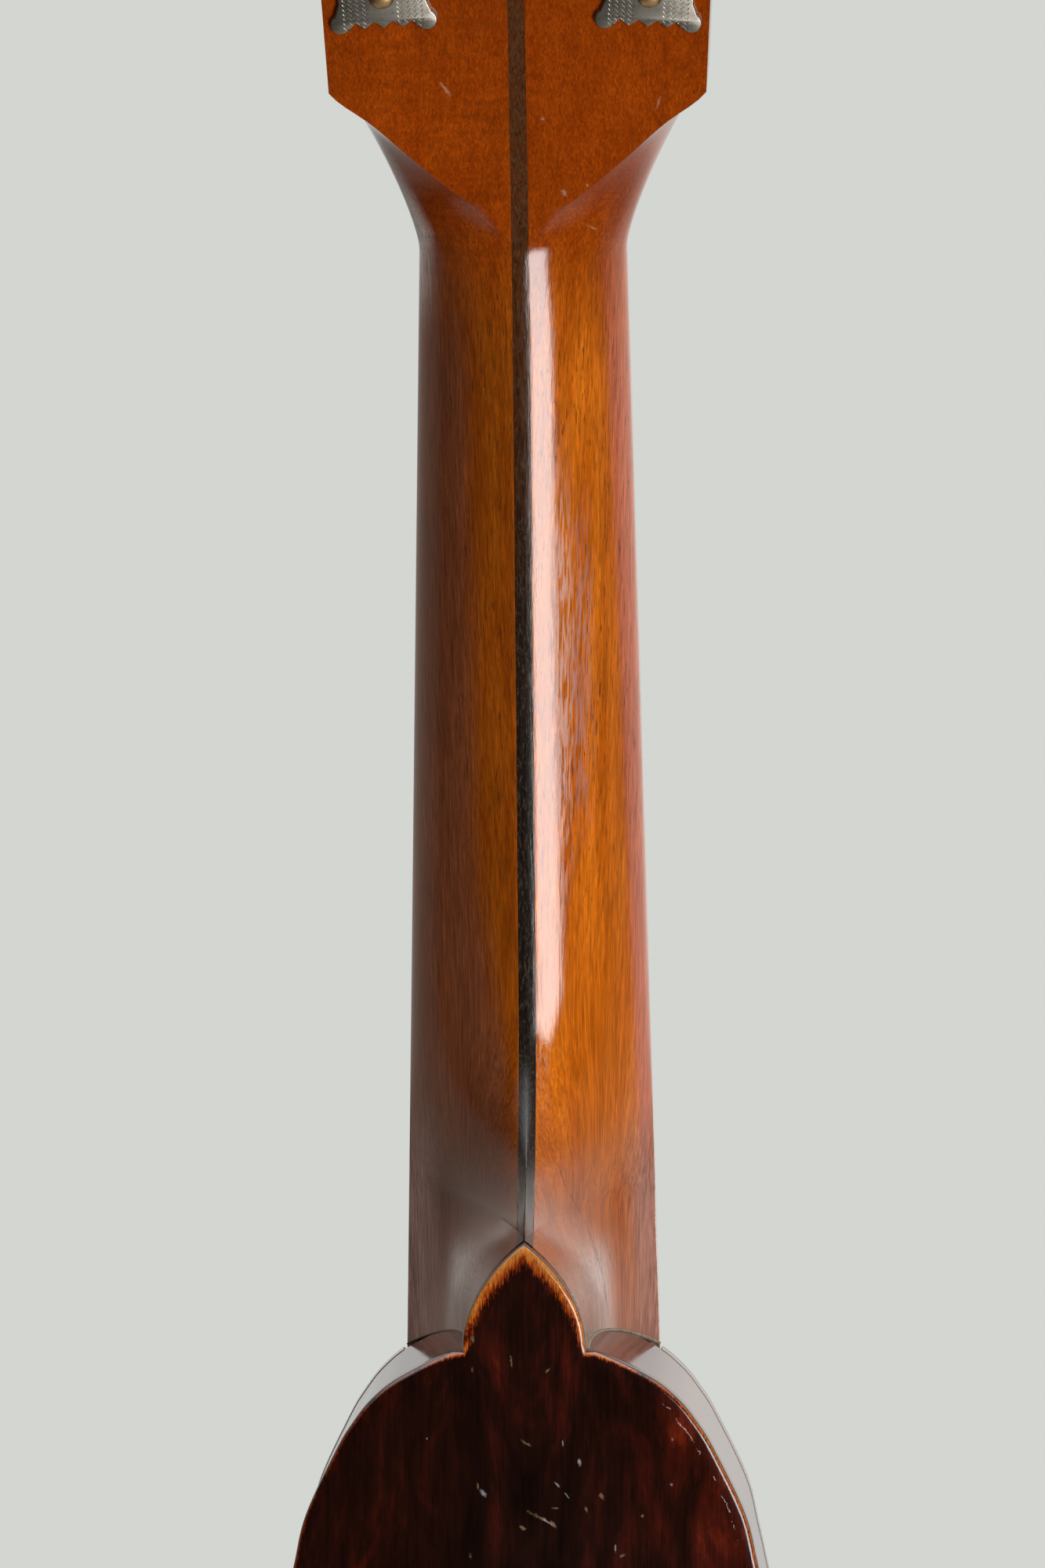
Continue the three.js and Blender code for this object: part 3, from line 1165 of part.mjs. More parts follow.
// Knob: a flattened oval with a collar, bored for the shaft
function knob() {
  const profile = KNOB_SHARES.map(([out, along]) => [out * KNOB_HALF_WIDTH, along * KNOB_LENGTH]);
  const body = turned(profile, KNOB_SIDES).scale(1, 1, KNOB_HALF_THICKNESS / KNOB_HALF_WIDTH);
  body.rotateZ(-Math.PI / 2).translate(KNOB_START, 0, 0);
  const depth = SHAFT_LENGTH - KNOB_START + CUT_GAP;
  const socket = crossBore(JOURNAL_RADIUS + JOURNAL_CLEARANCE, 2 * depth).translate(KNOB_START, 0, 0);
  return solidOf(body).subtract(solidOf(socket));
}

const plateShape = geometryOf(tunerPlate());
const wormShape = geometryOf(worm());
const postShape = geometryOf(tunerPost());
const knobShape = geometryOf(knob());
for (const [name, side] of SIDES) {
  const plateGroup = new THREE.Group();
  plateGroup.position.copy(tunerPlace(side, 0));
  plateGroup.rotation.y = side * PLATE_LEAN;
  headGroup.add(plateGroup);
  add(plateGroup, `tuner_plate_${name}`, plateShape, materials.nickel);
  for (let i = 0; i < TUNERS_PER_SIDE; i++) {
    const post = add(plateGroup, `tuner_post_${name}_${i + 1}`, postShape, materials.brass);
    post.position.set(0, 0, i * TUNER_SPACING);
    const key = new THREE.Group();
    key.position.set(0, WORM_AXIS_HEIGHT, i * TUNER_SPACING + WORM_OFFSET);
    if (side < 0) key.rotation.z = Math.PI;
    plateGroup.add(key);
    add(key, `tuner_worm_${name}_${i + 1}`, wormShape, materials.steel);
    add(key, `tuner_knob_${name}_${i + 1}`, knobShape, materials.knob);
  }
}

export default mandola;
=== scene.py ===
# The look of the mandola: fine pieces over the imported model, their materials, the light and the camera.
# Lengths are in millimetres in the model's frame, and become metres where meshes are made.
import math

import bmesh
import bpy
from mathutils import Matrix, Vector
from mathutils.geometry import tessellate_polygon
from mathutils.kdtree import KDTree


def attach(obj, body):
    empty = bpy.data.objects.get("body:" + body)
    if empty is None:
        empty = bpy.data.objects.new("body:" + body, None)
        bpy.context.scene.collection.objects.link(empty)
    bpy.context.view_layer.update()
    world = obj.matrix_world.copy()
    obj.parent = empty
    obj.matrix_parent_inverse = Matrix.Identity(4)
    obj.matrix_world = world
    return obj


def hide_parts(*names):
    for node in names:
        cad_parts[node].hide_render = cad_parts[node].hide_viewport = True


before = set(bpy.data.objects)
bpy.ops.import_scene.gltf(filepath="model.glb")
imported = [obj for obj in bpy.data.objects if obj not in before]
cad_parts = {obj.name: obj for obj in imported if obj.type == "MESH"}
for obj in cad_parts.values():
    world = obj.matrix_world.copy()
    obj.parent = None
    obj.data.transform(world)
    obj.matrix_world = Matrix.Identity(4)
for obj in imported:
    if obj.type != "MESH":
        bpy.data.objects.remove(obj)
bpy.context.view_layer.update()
MM = 0.001
SAME_PLACE = 1e-4
THINNEST = 1e-3

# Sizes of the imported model, in millimetres
BODY_WIDTH = 283.0
BODY_LENGTH = 365.0
BODY_DEPTH = 47.6
NECK_ANGLE = math.radians(4.5)
HEAD_ANGLE = math.radians(14)
GLUE_GAP = 0.06
FRONT = -BODY_DEPTH / 2
BACK = BODY_DEPTH / 2
TAIL_Z = 12.0
NECK_END_Z = TAIL_Z + BODY_LENGTH
ARCH_CENTER_Z = NECK_END_Z - 0.615 * BODY_LENGTH
TOP_INNER = FRONT + 4.5
BACK_INNER = BACK - 3.6
TOP_ARCH = 15.0
BACK_ARCH = 12.0
TOP_THICKNESS = 5.0
BACK_THICKNESS = 4.4
PLATE_OVERHANG = 0.8
TOP_OVERHANG = 0.1
BINDING_WIDTH = 1.6
TOP_INSET = BINDING_WIDTH - TOP_OVERHANG + GLUE_GAP
RIM_THICKNESS = 2.2
MORTISE_HALF_WIDTH = 8.3
GLUE_LAND_SHARE = 0.93
SCALE_LENGTH = 400.0
SOUND_HOLE_WIDTH = 60.0
SOUND_HOLE_HEIGHT = 42.0
ROSETTE_INSET = 3.0
ROSETTE_WIDTH = 3.2
BUTTON_HALF_WIDTH = 10.0
BUTTON_LENGTH = 16.6
BUTTON_POWERS = (1.9, 0.9)
NUT_HALF_WIDTH = 16.8
JOINT_HALF_WIDTH = 20.5
NUT_NECK_DEPTH = 13.5
JOINT_NECK_DEPTH = 16.5
STRIP_WIDTH = 2.8
HEEL_CURVE = 38.0
HEEL_PAST_BACK = 5.0
NECK_POWERS = (1.33, 1.2)
HEEL_POWERS = (2.5, 2.6)
HEEL_CHEEK_POWER = 6.0
HEEL_CAP_POWER = 3.0
HEEL_EASE = 7.0
HEEL_OVERRUN = 1.0
HEEL_ROUNDING = 1.2
HEEL_BLEND_POWER = 1.7
LAST_ANGLE = math.radians(88.5)
SWELL_RISE = 2.6
SWELL_RISE_POWER = 3
SWELL_END = 14.0
SWELL_END_POWER = 24
HEAD_LENGTH = 162.4
HEAD_THICKNESS = 13.5
HEAD_CORNER = 32.8
HEAD_CORNER_HALF_WIDTH = 30.6
HEAD_SPREAD = 0.054
HEAD_FLARE_POWER = 1.33
CREST_RISE = 11.0
CREST_SHARES = (0, 0.15, 0.35, 0.55, 0.75, 0.9, 0.97, 0.998)
BEND_ON_NECK = 16.0
BEND_ON_HEAD = 16.0
VENEER_THICKNESS = 1.6
VENEER_EDGE = 0.25
BOARD_THICKNESS = 5.0
BOARD_BINDING = 1.5
BOARD_EDGE = 0.03
BOARD_PAST_FRET = 5.0
FRET_COUNT = 20
JOINT_FRET = 10
NUT_LENGTH = 5.0
NUT_TOP = BOARD_THICKNESS + 1.6
BRIDGE_TOP = BOARD_THICKNESS + 6.1
BRIDGE_S = SCALE_LENGTH + 2.0
BRIDGE_CREST_WIDTH = 4.5
TUNERS_PER_SIDE = 4
TUNER_SPACING = 23.8
FIRST_TUNER = 58.4
FIRST_TUNER_X = 22.0
PLATE_LEAN = math.radians(3.5)
PLATE_THICKNESS = 1.1
SIDES = {"bass": -1, "treble": 1}
JOINT_RADII = {"bass": 0.34, "treble": 0.2}
JOINT_END_GAP = 0.2

# Half the body's outline: share of the half width, share of the length from the neck
OUTLINE_SHARES = [
    (0, 0), (0.0706, 0.0034), (0.138, 0.0153), (0.171, 0.0252), (0.193, 0.0359), (0.2113, 0.0477),
    (0.2459, 0.0762), (0.26, 0.0989), (0.281, 0.134), (0.319, 0.171), (0.383, 0.219), (0.47, 0.268),
    (0.57, 0.318), (0.674, 0.367), (0.773, 0.416), (0.86, 0.466), (0.929, 0.5205), (0.975, 0.575),
    (0.997, 0.63), (1, 0.668), (0.986, 0.718), (0.943, 0.778), (0.872, 0.833), (0.765, 0.885),
    (0.62, 0.9315), (0.436, 0.9685), (0.224, 0.992), (0, 1),
]


def lerp(a, b, t):
    return a + (b - a) * t


def clamp(value, low=0.0, high=1.0):
    return min(high, max(low, value))


def spread(low, high, count):
    return [lerp(low, high, i / (count - 1)) for i in range(count)]


def circle(count):
    """The angles of equal steps round a circle"""
    return [2 * math.pi * i / count for i in range(count)]


def ring(radius, height, count):
    """Points round the Z axis"""
    return [Vector((radius * math.cos(a), radius * math.sin(a), height)) for a in circle(count)]


def arc(center, radii, low, high, count):
    """Points along an ellipse, between two angles"""
    (x, z), (across, up) = center, radii
    return [(x + across * math.cos(a), z + up * math.sin(a)) for a in spread(low, high, count)]


def corner(radius, count):
    """Points round a rounded edge: how far each lies in from the side and from the face"""
    return [(radius * (1 - math.sin(a)), radius * (1 - math.cos(a))) for a in spread(0, math.pi / 2, count)]


def fret_place(n):
    return SCALE_LENGTH * (1 - 2 ** (-n / 12))


JOINT_S = fret_place(JOINT_FRET)
BOARD_LENGTH = fret_place(FRET_COUNT) + BOARD_PAST_FRET
NUT = Vector((0, FRONT + JOINT_S * math.sin(NECK_ANGLE), NECK_END_Z + JOINT_S * math.cos(NECK_ANGLE)))
HEAD_TILT = NECK_ANGLE + HEAD_ANGLE
HEEL_POINT_S = (NUT.z - NECK_END_Z - BUTTON_LENGTH - BODY_DEPTH * math.sin(NECK_ANGLE)) / math.cos(NECK_ANGLE)
HEEL_START_S = HEEL_POINT_S - HEEL_CURVE
HEEL_END_S = HEEL_POINT_S + BUTTON_LENGTH * 2.4
BOARD_END_Z = NUT.z - BOARD_LENGTH * math.cos(NECK_ANGLE)
SOUND_HOLE_Z = BOARD_END_Z - SOUND_HOLE_HEIGHT / 2 - 2 * ROSETTE_INSET - ROSETTE_WIDTH
NECK_FRAME = Matrix.Translation(NUT) @ Matrix.Rotation(-NECK_ANGLE, 4, "X")
HEAD_FRAME = Matrix.Translation(NUT) @ Matrix.Rotation(-HEAD_TILT, 4, "X")
# These turn a profile's Z to the front or to the back
TO_FRONT = Matrix.Rotation(math.pi / 2, 4, "X")
TO_BACK = Matrix.Rotation(-math.pi / 2, 4, "X")


# Objects and meshes
def add_object(name, data):
    item = bpy.data.objects.new(name, data)
    bpy.context.scene.collection.objects.link(item)
    return item


def shade(mesh, sharp):
    mesh.shade_smooth()
    mesh.set_sharp_from_angle(angle=math.radians(sharp))


def declare(piece, nodes, body):
    """The piece rides on a body and stands for CAD nodes"""
    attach(piece, body)
    if nodes:
        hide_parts(*nodes)
    return piece


class Skin:
    """A mesh in the making, in millimetres"""

    def __init__(self, rings=None):
        self.bm = bmesh.new()
        if rings:
            self.loft(rings)

    def loft(self, rings, caps=True):
        """A skin over rings of equally many points"""
        rows = [[self.bm.verts.new(p) for p in ring] for ring in rings]
        for low, high in zip(rows, rows[1:]):
            for i in range(len(low)):
                j = (i + 1) % len(low)
                self.bm.faces.new((low[i], low[j], high[j], high[i]))
        if caps:
            for row in (rows[0], rows[-1]):
                self.bm.faces.new(row)
        return rows

    def turned(self, profile, sides, place):
        """A profile of (radius, height) turned about the place's Z"""
        rings = [ring(max(radius, THINNEST), height, sides) for radius, height in profile]
        self.loft([[place @ p for p in points] for points in rings])

    def slab(self, outline, low, high, edge, place):
        """An outline of (x, z) points as a slab between two y values, with rounded edges"""
        levels = [(inset, low + drop) for inset, drop in corner(edge, 4)]
        levels += [(inset, high - drop) for inset, drop in reversed(corner(edge, 4))]
        rings = [[place @ Vector((x, y, z)) for x, z in shifted(outline, inset)] for inset, y in levels]
        rows = self.loft(rings, caps=False)
        for row in (rows[0], rows[-1]):
            for tri in tessellate_polygon([[place.inverted() @ v.co for v in row]]):
                self.bm.faces.new([row[i] for i in tri])

    def tube(self, path, radius, sides=10):
        """A round rod along a path"""
        rings = []
        side = Vector((1, 0, 0))
        for i, p in enumerate(path):
            ahead = (path[min(i + 1, len(path) - 1)] - path[max(i - 1, 0)]).normalized()
            side = (side - ahead * side.dot(ahead)).normalized()
            up = ahead.cross(side)
            rings.append([p + side * radius * math.cos(a) + up * radius * math.sin(a) for a in circle(sides)])
        self.loft(rings)

    def mesh(self, name):
        """The finished mesh, in metres"""
        bmesh.ops.remove_doubles(self.bm, verts=self.bm.verts, dist=SAME_PLACE)
        bmesh.ops.recalc_face_normals(self.bm, faces=self.bm.faces)
        bmesh.ops.scale(self.bm, vec=(MM, MM, MM), verts=self.bm.verts)
        mesh = bpy.data.meshes.new(name)
        self.bm.to_mesh(mesh)
        self.bm.free()
        return mesh

    def finish(self, name, slot, nodes=(), body="mandola", sharp=35):
        piece = add_object(name, self.mesh(name))
        shade(piece.data, sharp)
        return declare(piece, nodes, body)


def apply_modifier(piece, kind, **settings):
    """Puts a modifier's result in place of the piece's mesh"""
    modifier = piece.modifiers.new(kind.lower(), kind)
    for key, value in settings.items():
        setattr(modifier, key, value)
    graph = bpy.context.evaluated_depsgraph_get()
    result = bpy.data.meshes.new_from_object(piece.evaluated_get(graph))
    piece.modifiers.clear()
    old = piece.data
    piece.data = result
    bpy.data.meshes.remove(old)


def cut_away(piece, outline, low, high):
    """Takes what lies within an outline of (x, z) points, between two y values, out of a piece"""
    prism = Skin([[Vector((x, y, z)) for x, z in outline] for y in (low, high)])
    cutter = add_object("cutter", prism.mesh("cutter"))
    apply_modifier(piece, "BOOLEAN", object=cutter, operation="DIFFERENCE", solver="EXACT")
    bpy.data.objects.remove(cutter)
    shade(piece.data, 35)


def note(piece, name, kind, field, values):
    """Puts a value for each of the piece's points where its material can read it"""
    piece.data.attributes.new(name, kind, "POINT").data.foreach_set(field, values)


# Outlines, as lists of (x, z) points
def inward_normals(outline):
    """Unit normals that point in, whichever way round the outline runs"""
    after = outline[1:] + outline[:1]
    area = sum(ax * bz - bx * az for (ax, az), (bx, bz) in zip(outline, after))
    turn = 1 if area > 0 else -1
    normals = []
    for (ax, az), (bx, bz) in zip(outline[-1:] + outline[:-1], after):
        dx, dz = bx - ax, bz - az
        length = math.hypot(dx, dz) or 1
        normals.append((-dz / length * turn, dx / length * turn))
    return normals


def shifted(outline, inset):
    return [(x + n[0] * inset, z + n[1] * inset) for (x, z), n in zip(outline, inward_normals(outline))]


def spline(points, per_span):
    """Closed Catmull-Rom curve"""
    size = len(points)
    curve = []
    for i in range(size):
        p0, p1, p2, p3 = (points[(i + k) % size] for k in (-1, 0, 1, 2))
        for step in range(per_span):
            t = step / per_span
            curve.append(tuple(
                0.5 * (2 * p1[k] + (p2[k] - p0[k]) * t
                       + (2 * p0[k] - 5 * p1[k] + 4 * p2[k] - p3[k]) * t * t
                       + (3 * p1[k] - p0[k] - 3 * p2[k] + p3[k]) * t ** 3)
                for k in (0, 1)
            ))
    return curve


# The body's outline starts at the neck and runs down the treble side first
HALF_OUTLINE = [(across * BODY_WIDTH / 2, NECK_END_Z - down * BODY_LENGTH) for across, down in OUTLINE_SHARES]
PEAR = spline(HALF_OUTLINE + [(-x, z) for x, z in HALF_OUTLINE[-2:0:-1]], 8)


def moved_in(outline, inset):
    """The outline drawn in by inset; where its two halves would cross, they meet on the centre line"""
    moved = shifted(outline, inset)
    crossed = [i for i, (x, z) in enumerate(moved) if x * outline[i][0] < 0]
    for sign in (1, -1):
        zone = [i for i in crossed if sign * (outline[i][1] - ARCH_CENTER_Z) > 0]
        if zone:
            kept = [p for i, p in enumerate(moved) if i not in zone and sign * (p[1] - ARCH_CENTER_Z) > 0]
            meet = min(kept, key=lambda p: abs(p[0]))[1]
            for i, (x, z) in enumerate(outline):
                if i in zone or abs(x) < 1e-9 and sign * (z - ARCH_CENTER_Z) > 0:
                    moved[i] = (0.0, meet)
    return moved


def band(outer, inner, section):
    """Rings that carry a section of (share of the way in, y) along two outlines"""
    return [
        [Vector((lerp(ox, ix, share), y, lerp(oz, iz, share))) for share, y in section]
        for (ox, oz), (ix, iz) in zip(outer, inner)
    ]


def dense(outline, gap=0.4):
    """The closed outline with a point at least at every gap"""
    points = []
    for (ax, az), (bx, bz) in zip(outline, outline[1:] + outline[:1]):
        count = max(1, math.ceil(math.hypot(bx - ax, bz - az) / gap))
        points += [(lerp(ax, bx, i / count), lerp(az, bz, i / count)) for i in range(count)]
    return points


# Arched plates
def reach_table(outline):
    """How far the outline lies from the arch's centre, by angle"""
    polar = sorted((math.atan2(x, z - ARCH_CENTER_Z), math.hypot(x, z - ARCH_CENTER_Z)) for x, z in outline)
    first, last = polar[0], polar[-1]
    return [(last[0] - 2 * math.pi, last[1])] + polar + [(first[0] + 2 * math.pi, first[1])]


def out_share(table, x, z):
    """How far out a point lies from the arch's centre, 1 at the outline"""
    angle = math.atan2(x, z - ARCH_CENTER_Z)
    low, high = 0, len(table) - 1
    while high - low > 1:
        middle = (low + high) // 2
        if table[middle][0] <= angle:
            low = middle
        else:
            high = middle
    (a0, r0), (a1, r1) = table[low], table[high]
    reach = lerp(r0, r1, (angle - a0) / (a1 - a0 or 1))
    return math.hypot(x, z - ARCH_CENTER_Z) / reach


def arch_share(k):
    return 0.0 if k >= 1 else (1 + math.cos(math.pi * k)) / 2


BACK_TABLE = reach_table(moved_in(PEAR, -PLATE_OVERHANG))
TOP_TABLE = reach_table(moved_in(PEAR, TOP_INSET))
OUTSIDE_RINGS = [0.004] + spread(0.04, 0.96, 34) + [0.985]
INSIDE_RINGS = (0.97, 0.92, 0.8, 0.6, 0.4, 0.2, 0.004)


def top_face_y(x, z, lift=0.0):
    return FRONT - TOP_ARCH * arch_share(out_share(TOP_TABLE, x, z)) - lift


def carved_plate(outline, table, face, inner, direction, arch, hollow, edge):
    """A carved plate: arched outside and inside, with rounded edges"""

    def level(inset, k, y, rise, table_scale=1.0):
        points = []
        for x, z in moved_in(outline, inset):
            px = x * k
            pz = lerp(ARCH_CENTER_Z, z, k)
            height = rise * arch_share(out_share(table, px, pz) / table_scale)
            points.append(Vector((px, y + direction * height, pz)))
        return points

    rings = [level(edge, k, face, arch) for k in OUTSIDE_RINGS]
    rings += [level(inset, 1, face - direction * drop, arch) for inset, drop in corner(edge, 5)]
    rings += [level(inset, 1, inner + direction * drop, 0) for inset, drop in reversed(corner(edge / 2, 4))]
    rings += [level(edge / 2, k, inner, hollow, GLUE_LAND_SHARE) for k in INSIDE_RINGS]
    return Skin(rings)


# Neck and headstock; s runs down the neck's face from the nut, and is negative on the headstock
def board_half_width(s):
    return NUT_HALF_WIDTH + (JOINT_HALF_WIDTH - NUT_HALF_WIDTH) * max(s, 0) / JOINT_S


def head_half_width(up):
    flare = lerp(NUT_HALF_WIDTH, HEAD_CORNER_HALF_WIDTH, (max(up, 0) / HEAD_CORNER) ** HEAD_FLARE_POWER)
    spread_width = HEAD_CORNER_HALF_WIDTH + HEAD_SPREAD * (up - HEAD_CORNER)
    widest = HEAD_CORNER_HALF_WIDTH + HEAD_SPREAD * (HEAD_LENGTH - CREST_RISE - HEAD_CORNER)
    crest = widest * math.sqrt(max(0, (HEAD_LENGTH - up) / CREST_RISE))
    return flare if up < HEAD_CORNER else min(spread_width, crest)


def on_face(s):
    """The point of the face at s, and which way is back"""
    turn = HEAD_TILT if s < 0 else NECK_ANGLE
    origin = NUT + Vector((0, -s * math.sin(turn), -s * math.cos(turn)))
    return origin, Vector((0, math.cos(turn), -math.sin(turn)))


def neck_depth(s):
    if s < 0:
        return HEAD_THICKNESS
    plain = lerp(NUT_NECK_DEPTH, JOINT_NECK_DEPTH, min(1, s / JOINT_S))
    t = clamp((s - HEEL_START_S) / HEEL_CURVE)
    return plain + (BODY_DEPTH + HEEL_PAST_BACK - plain) * (1 - math.sqrt(1 - t * t))


def station(s):
    """Where a cross-section lies, which way is back, and how deep it is; the back bends in a smooth arc"""
    origin, back = on_face(s)
    if s <= -BEND_ON_HEAD or s >= BEND_ON_NECK:
        return origin, back, neck_depth(s)
    low, high = (on_face(end)[0] + on_face(end)[1] * neck_depth(end) for end in (-BEND_ON_HEAD, BEND_ON_NECK))
    middle = HEAD_TILT - HEAD_ANGLE / 2
    bend = NUT + Vector((0, math.cos(middle), -math.sin(middle))) * HEAD_THICKNESS / math.cos(HEAD_ANGLE / 2)
    t = (s + BEND_ON_HEAD) / (BEND_ON_HEAD + BEND_ON_NECK)
    reach = low * (1 - t) ** 2 + bend * 2 * t * (1 - t) + high * t ** 2 - origin
    return origin, reach.normalized(), reach.length


def button_half_width(z):
    t = clamp((z - NECK_END_Z) / BUTTON_LENGTH)
    return BUTTON_HALF_WIDTH * (1 - t ** BUTTON_POWERS[0]) ** BUTTON_POWERS[1]


def cheek_half_width(z):
    """The button's half width evened out over a length, so that the cheeks swell without a crease"""
    places = spread(z - HEEL_EASE, z + HEEL_EASE, 9)
    return sum(button_half_width(place) for place in places) / len(places)


def soft_least(a, b, rounding):
    """The smaller of two lengths, with the corner between them rounded"""
    return b - rounding * math.log1p(math.exp((b - a) / rounding)) if b - a < 30 * rounding else a


def neck_section(s, count):
    """The half section's points (x, depth) from the face to the middle of the back.

    The carved surface is a superellipse; on the headstock it runs on past the flat back, which cuts it.
    """
    origin, back, depth = station(s)
    if s > HEEL_START_S:
        depth = soft_least(depth, (BACK_INNER + HEEL_OVERRUN - origin.y) / back.y, HEEL_ROUNDING)
    width = head_half_width(-s) if s < 0 else board_half_width(s)
    up = clamp(-s / HEAD_CORNER)
    carved = depth * (1 + SWELL_RISE * up ** SWELL_RISE_POWER + SWELL_END * up ** SWELL_END_POWER)
    heel = clamp((s - HEEL_START_S) / HEEL_CURVE) ** HEEL_BLEND_POWER
    end = origin.z + back.z * depth
    cap = max(button_half_width(end), GLUE_GAP)
    cheek = cheek_half_width(end)
    down_power, across_power = (
        plain * (full / plain) ** heel for plain, full in zip(NECK_POWERS, HEEL_POWERS)
    )
    across_power = lerp(across_power, HEEL_CHEEK_POWER, cheek / BUTTON_HALF_WIDTH)
    last = min(math.asin((depth / carved) ** (1 / down_power)), LAST_ANGLE)
    half = []
    for angle in spread(0, last, count):
        across = math.cos(angle) ** across_power
        core = lerp(cheek, cap, math.sin(angle) ** HEEL_CAP_POWER)
        half.append((core + (width - core) * across, carved * math.sin(angle) ** down_power))
    half += [(lerp(half[-1][0], cap, k), lerp(half[-1][1], depth, k)) for k in (0.33, 0.67, 1)]
    return origin, back, half


def neck_ring(s):
    origin, back, half = neck_section(s, 30)
    left = [origin + back * depth - Vector((x, 0, 0)) for x, depth in half]
    right = [origin + back * depth + Vector((x, 0, 0)) for x, depth in reversed(half)]
    return left + right


NECK_STATIONS = (
    [-(HEAD_LENGTH - CREST_RISE * (1 - share)) for share in reversed(CREST_SHARES)]
    + [-lerp(HEAD_CORNER, HEAD_LENGTH - CREST_RISE, share) for share in (0.75, 0.5, 0.25)]
    + spread(-HEAD_CORNER, 12, 36)
    + spread(16, HEEL_START_S - 4, 24)
    + spread(HEEL_START_S, HEEL_END_S, 60)
)


OVER_HEEL = [(-60, TAIL_Z), (60, TAIL_Z), (60, NECK_END_Z + 26), (-60, NECK_END_Z + 26)]


def neck_part(name, node, slot, *cuts):
    """The neck without what lies in the body or under the back, and cut at x values to keep one side.

    Each cut is an x value with 1 where the treble side stays and -1 where the bass side stays.
    """
    skin = Skin([neck_ring(s) for s in NECK_STATIONS])
    bm = skin.bm
    bmesh.ops.remove_doubles(bm, verts=bm.verts, dist=SAME_PLACE)
    for x, keep in cuts:
        cut = bmesh.ops.bisect_plane(
            bm, geom=bm.verts[:] + bm.edges[:] + bm.faces[:], dist=1e-5,
            plane_co=(x, 0, 0), plane_no=(keep, 0, 0), clear_inner=True,
        )
        edges = [e for e in cut["geom_cut"] if isinstance(e, bmesh.types.BMEdge)]
        bmesh.ops.contextual_create(bm, geom=edges)
    piece = skin.finish(name, slot, [node])
    cut_away(piece, moved_in(PEAR, 0.02), FRONT - BODY_DEPTH, BACK + BODY_DEPTH)
    cut_away(piece, OVER_HEEL, BACK_INNER - GLUE_GAP, 2 * BODY_DEPTH)
    return piece


def make_neck():
    edge = STRIP_WIDTH / 2
    pieces = {
        "neck_bass": neck_part("neck_bass", "neck_bass_half", "neck_wood", (-edge, -1)),
        "neck_treble": neck_part("neck_treble", "neck_treble_half", "neck_wood", (edge, 1)),
        "strip": neck_part("neck_strip", "neck_center_strip", "strip_wood", (-edge, 1), (edge, -1)),
    }
    crest = HEAD_LENGTH - CREST_RISE
    ups = spread(NUT_LENGTH + GLUE_GAP, HEAD_CORNER, 14) + [lerp(HEAD_CORNER, crest, 0.5)]
    ups += [crest + CREST_RISE * share for share in CREST_SHARES]
    half = [(head_half_width(up), up) for up in ups]
    skin = Skin()
    outline = half + [(-x, z) for x, z in reversed(half)]
    skin.slab(outline, -VENEER_THICKNESS, -GLUE_GAP, VENEER_EDGE, HEAD_FRAME)
    pieces["veneer"] = skin.finish("headstock_face", "head_veneer", ["headstock_veneer"])
    return pieces


# The joints between the heel and the body's shoulders
def shoulder_z(x):
    """The outline's height next to the neck"""
    near = sorted(p for p in PEAR if p[1] > NECK_END_Z - BUTTON_LENGTH)
    for (ax, az), (bx, bz) in zip(near, near[1:]):
        if ax <= x <= bx:
            return lerp(az, bz, (x - ax) / (bx - ax))
    return near[0][1]


def joint_line(side):
    """Where the heel's surface meets the rim, from the fingerboard to the back"""
    rows = 40
    sections = [neck_section(s, rows) for s in spread(HEEL_START_S, HEEL_END_S, 120)]
    points = []
    for k in range(rows):
        before = None
        for origin, back, half in sections:
            x, depth = half[k]
            place = origin + back * depth + Vector((side * x, 0, 0))
            over = place.z - shoulder_z(place.x)
            if before and before[1] > 0 >= over:
                points.append(before[0].lerp(place, before[1] / (before[1] - over)))
                break
            before = (place, over)
    return [p for p in points if p.y < BACK_INNER - JOINT_END_GAP]


def make_joints():
    """The crack and the bead of old glue where the heel meets the rims"""
    pieces = {}
    for name, radius in JOINT_RADII.items():
        skin = Skin()
        skin.tube(joint_line(SIDES[name]), radius, 8)
        pieces[name] = skin.finish("heel_joint_" + name, "neck_wood")
    return pieces


# Sound box
BACK_EDGE = 0.9
TOP_EDGE = 0.05
BUTTON_FOOT = 0.9
RIM_TAIL = 30.0
FINGERBOARD_GAP = JOINT_HALF_WIDTH + 0.3
ROSETTE_SECTION = ((0.02, 0.02), (1, 0.02), (1, -1.2), (0.02, -1.2))
BINDING_SECTION = [
    (0, TOP_INNER), (0, FRONT + 0.8), (0.06, FRONT + 0.4), (0.2, FRONT + 0.12), (0.45, FRONT),
    (1, FRONT), (1, TOP_INNER),
]
RIM_EDGES = (TOP_INNER + GLUE_GAP, BACK_INNER - GLUE_GAP)
RIM_SECTION = [(0, RIM_EDGES[0]), (0, RIM_EDGES[1]), (1, RIM_EDGES[1]), (1, RIM_EDGES[0])]


def back_outline():
    """The back's edge, with the button that covers the heel"""
    plate = moved_in(PEAR, -PLATE_OVERHANG)
    body = [(x, z) for x, z in plate if z < NECK_END_Z - 2.2 or abs(x) > BUTTON_HALF_WIDTH + 0.8]
    rises = [math.sin(math.pi / 2 * i / 24) for i in range(25)]
    heights = [NECK_END_Z - BUTTON_FOOT + (BUTTON_LENGTH + BUTTON_FOOT) * rise for rise in rises]
    half = [(button_half_width(z), z) for z in heights]
    return body + [(-x, z) for x, z in half] + [(x, z) for x, z in reversed(half[:-1])]


def hole_path(margin):
    """The sound hole's outline, widened by a margin"""
    radii = (SOUND_HOLE_WIDTH / 2 + margin, SOUND_HOLE_HEIGHT / 2 + margin)
    return arc((0, SOUND_HOLE_Z), radii, 0, 2 * math.pi, 97)[:-1]


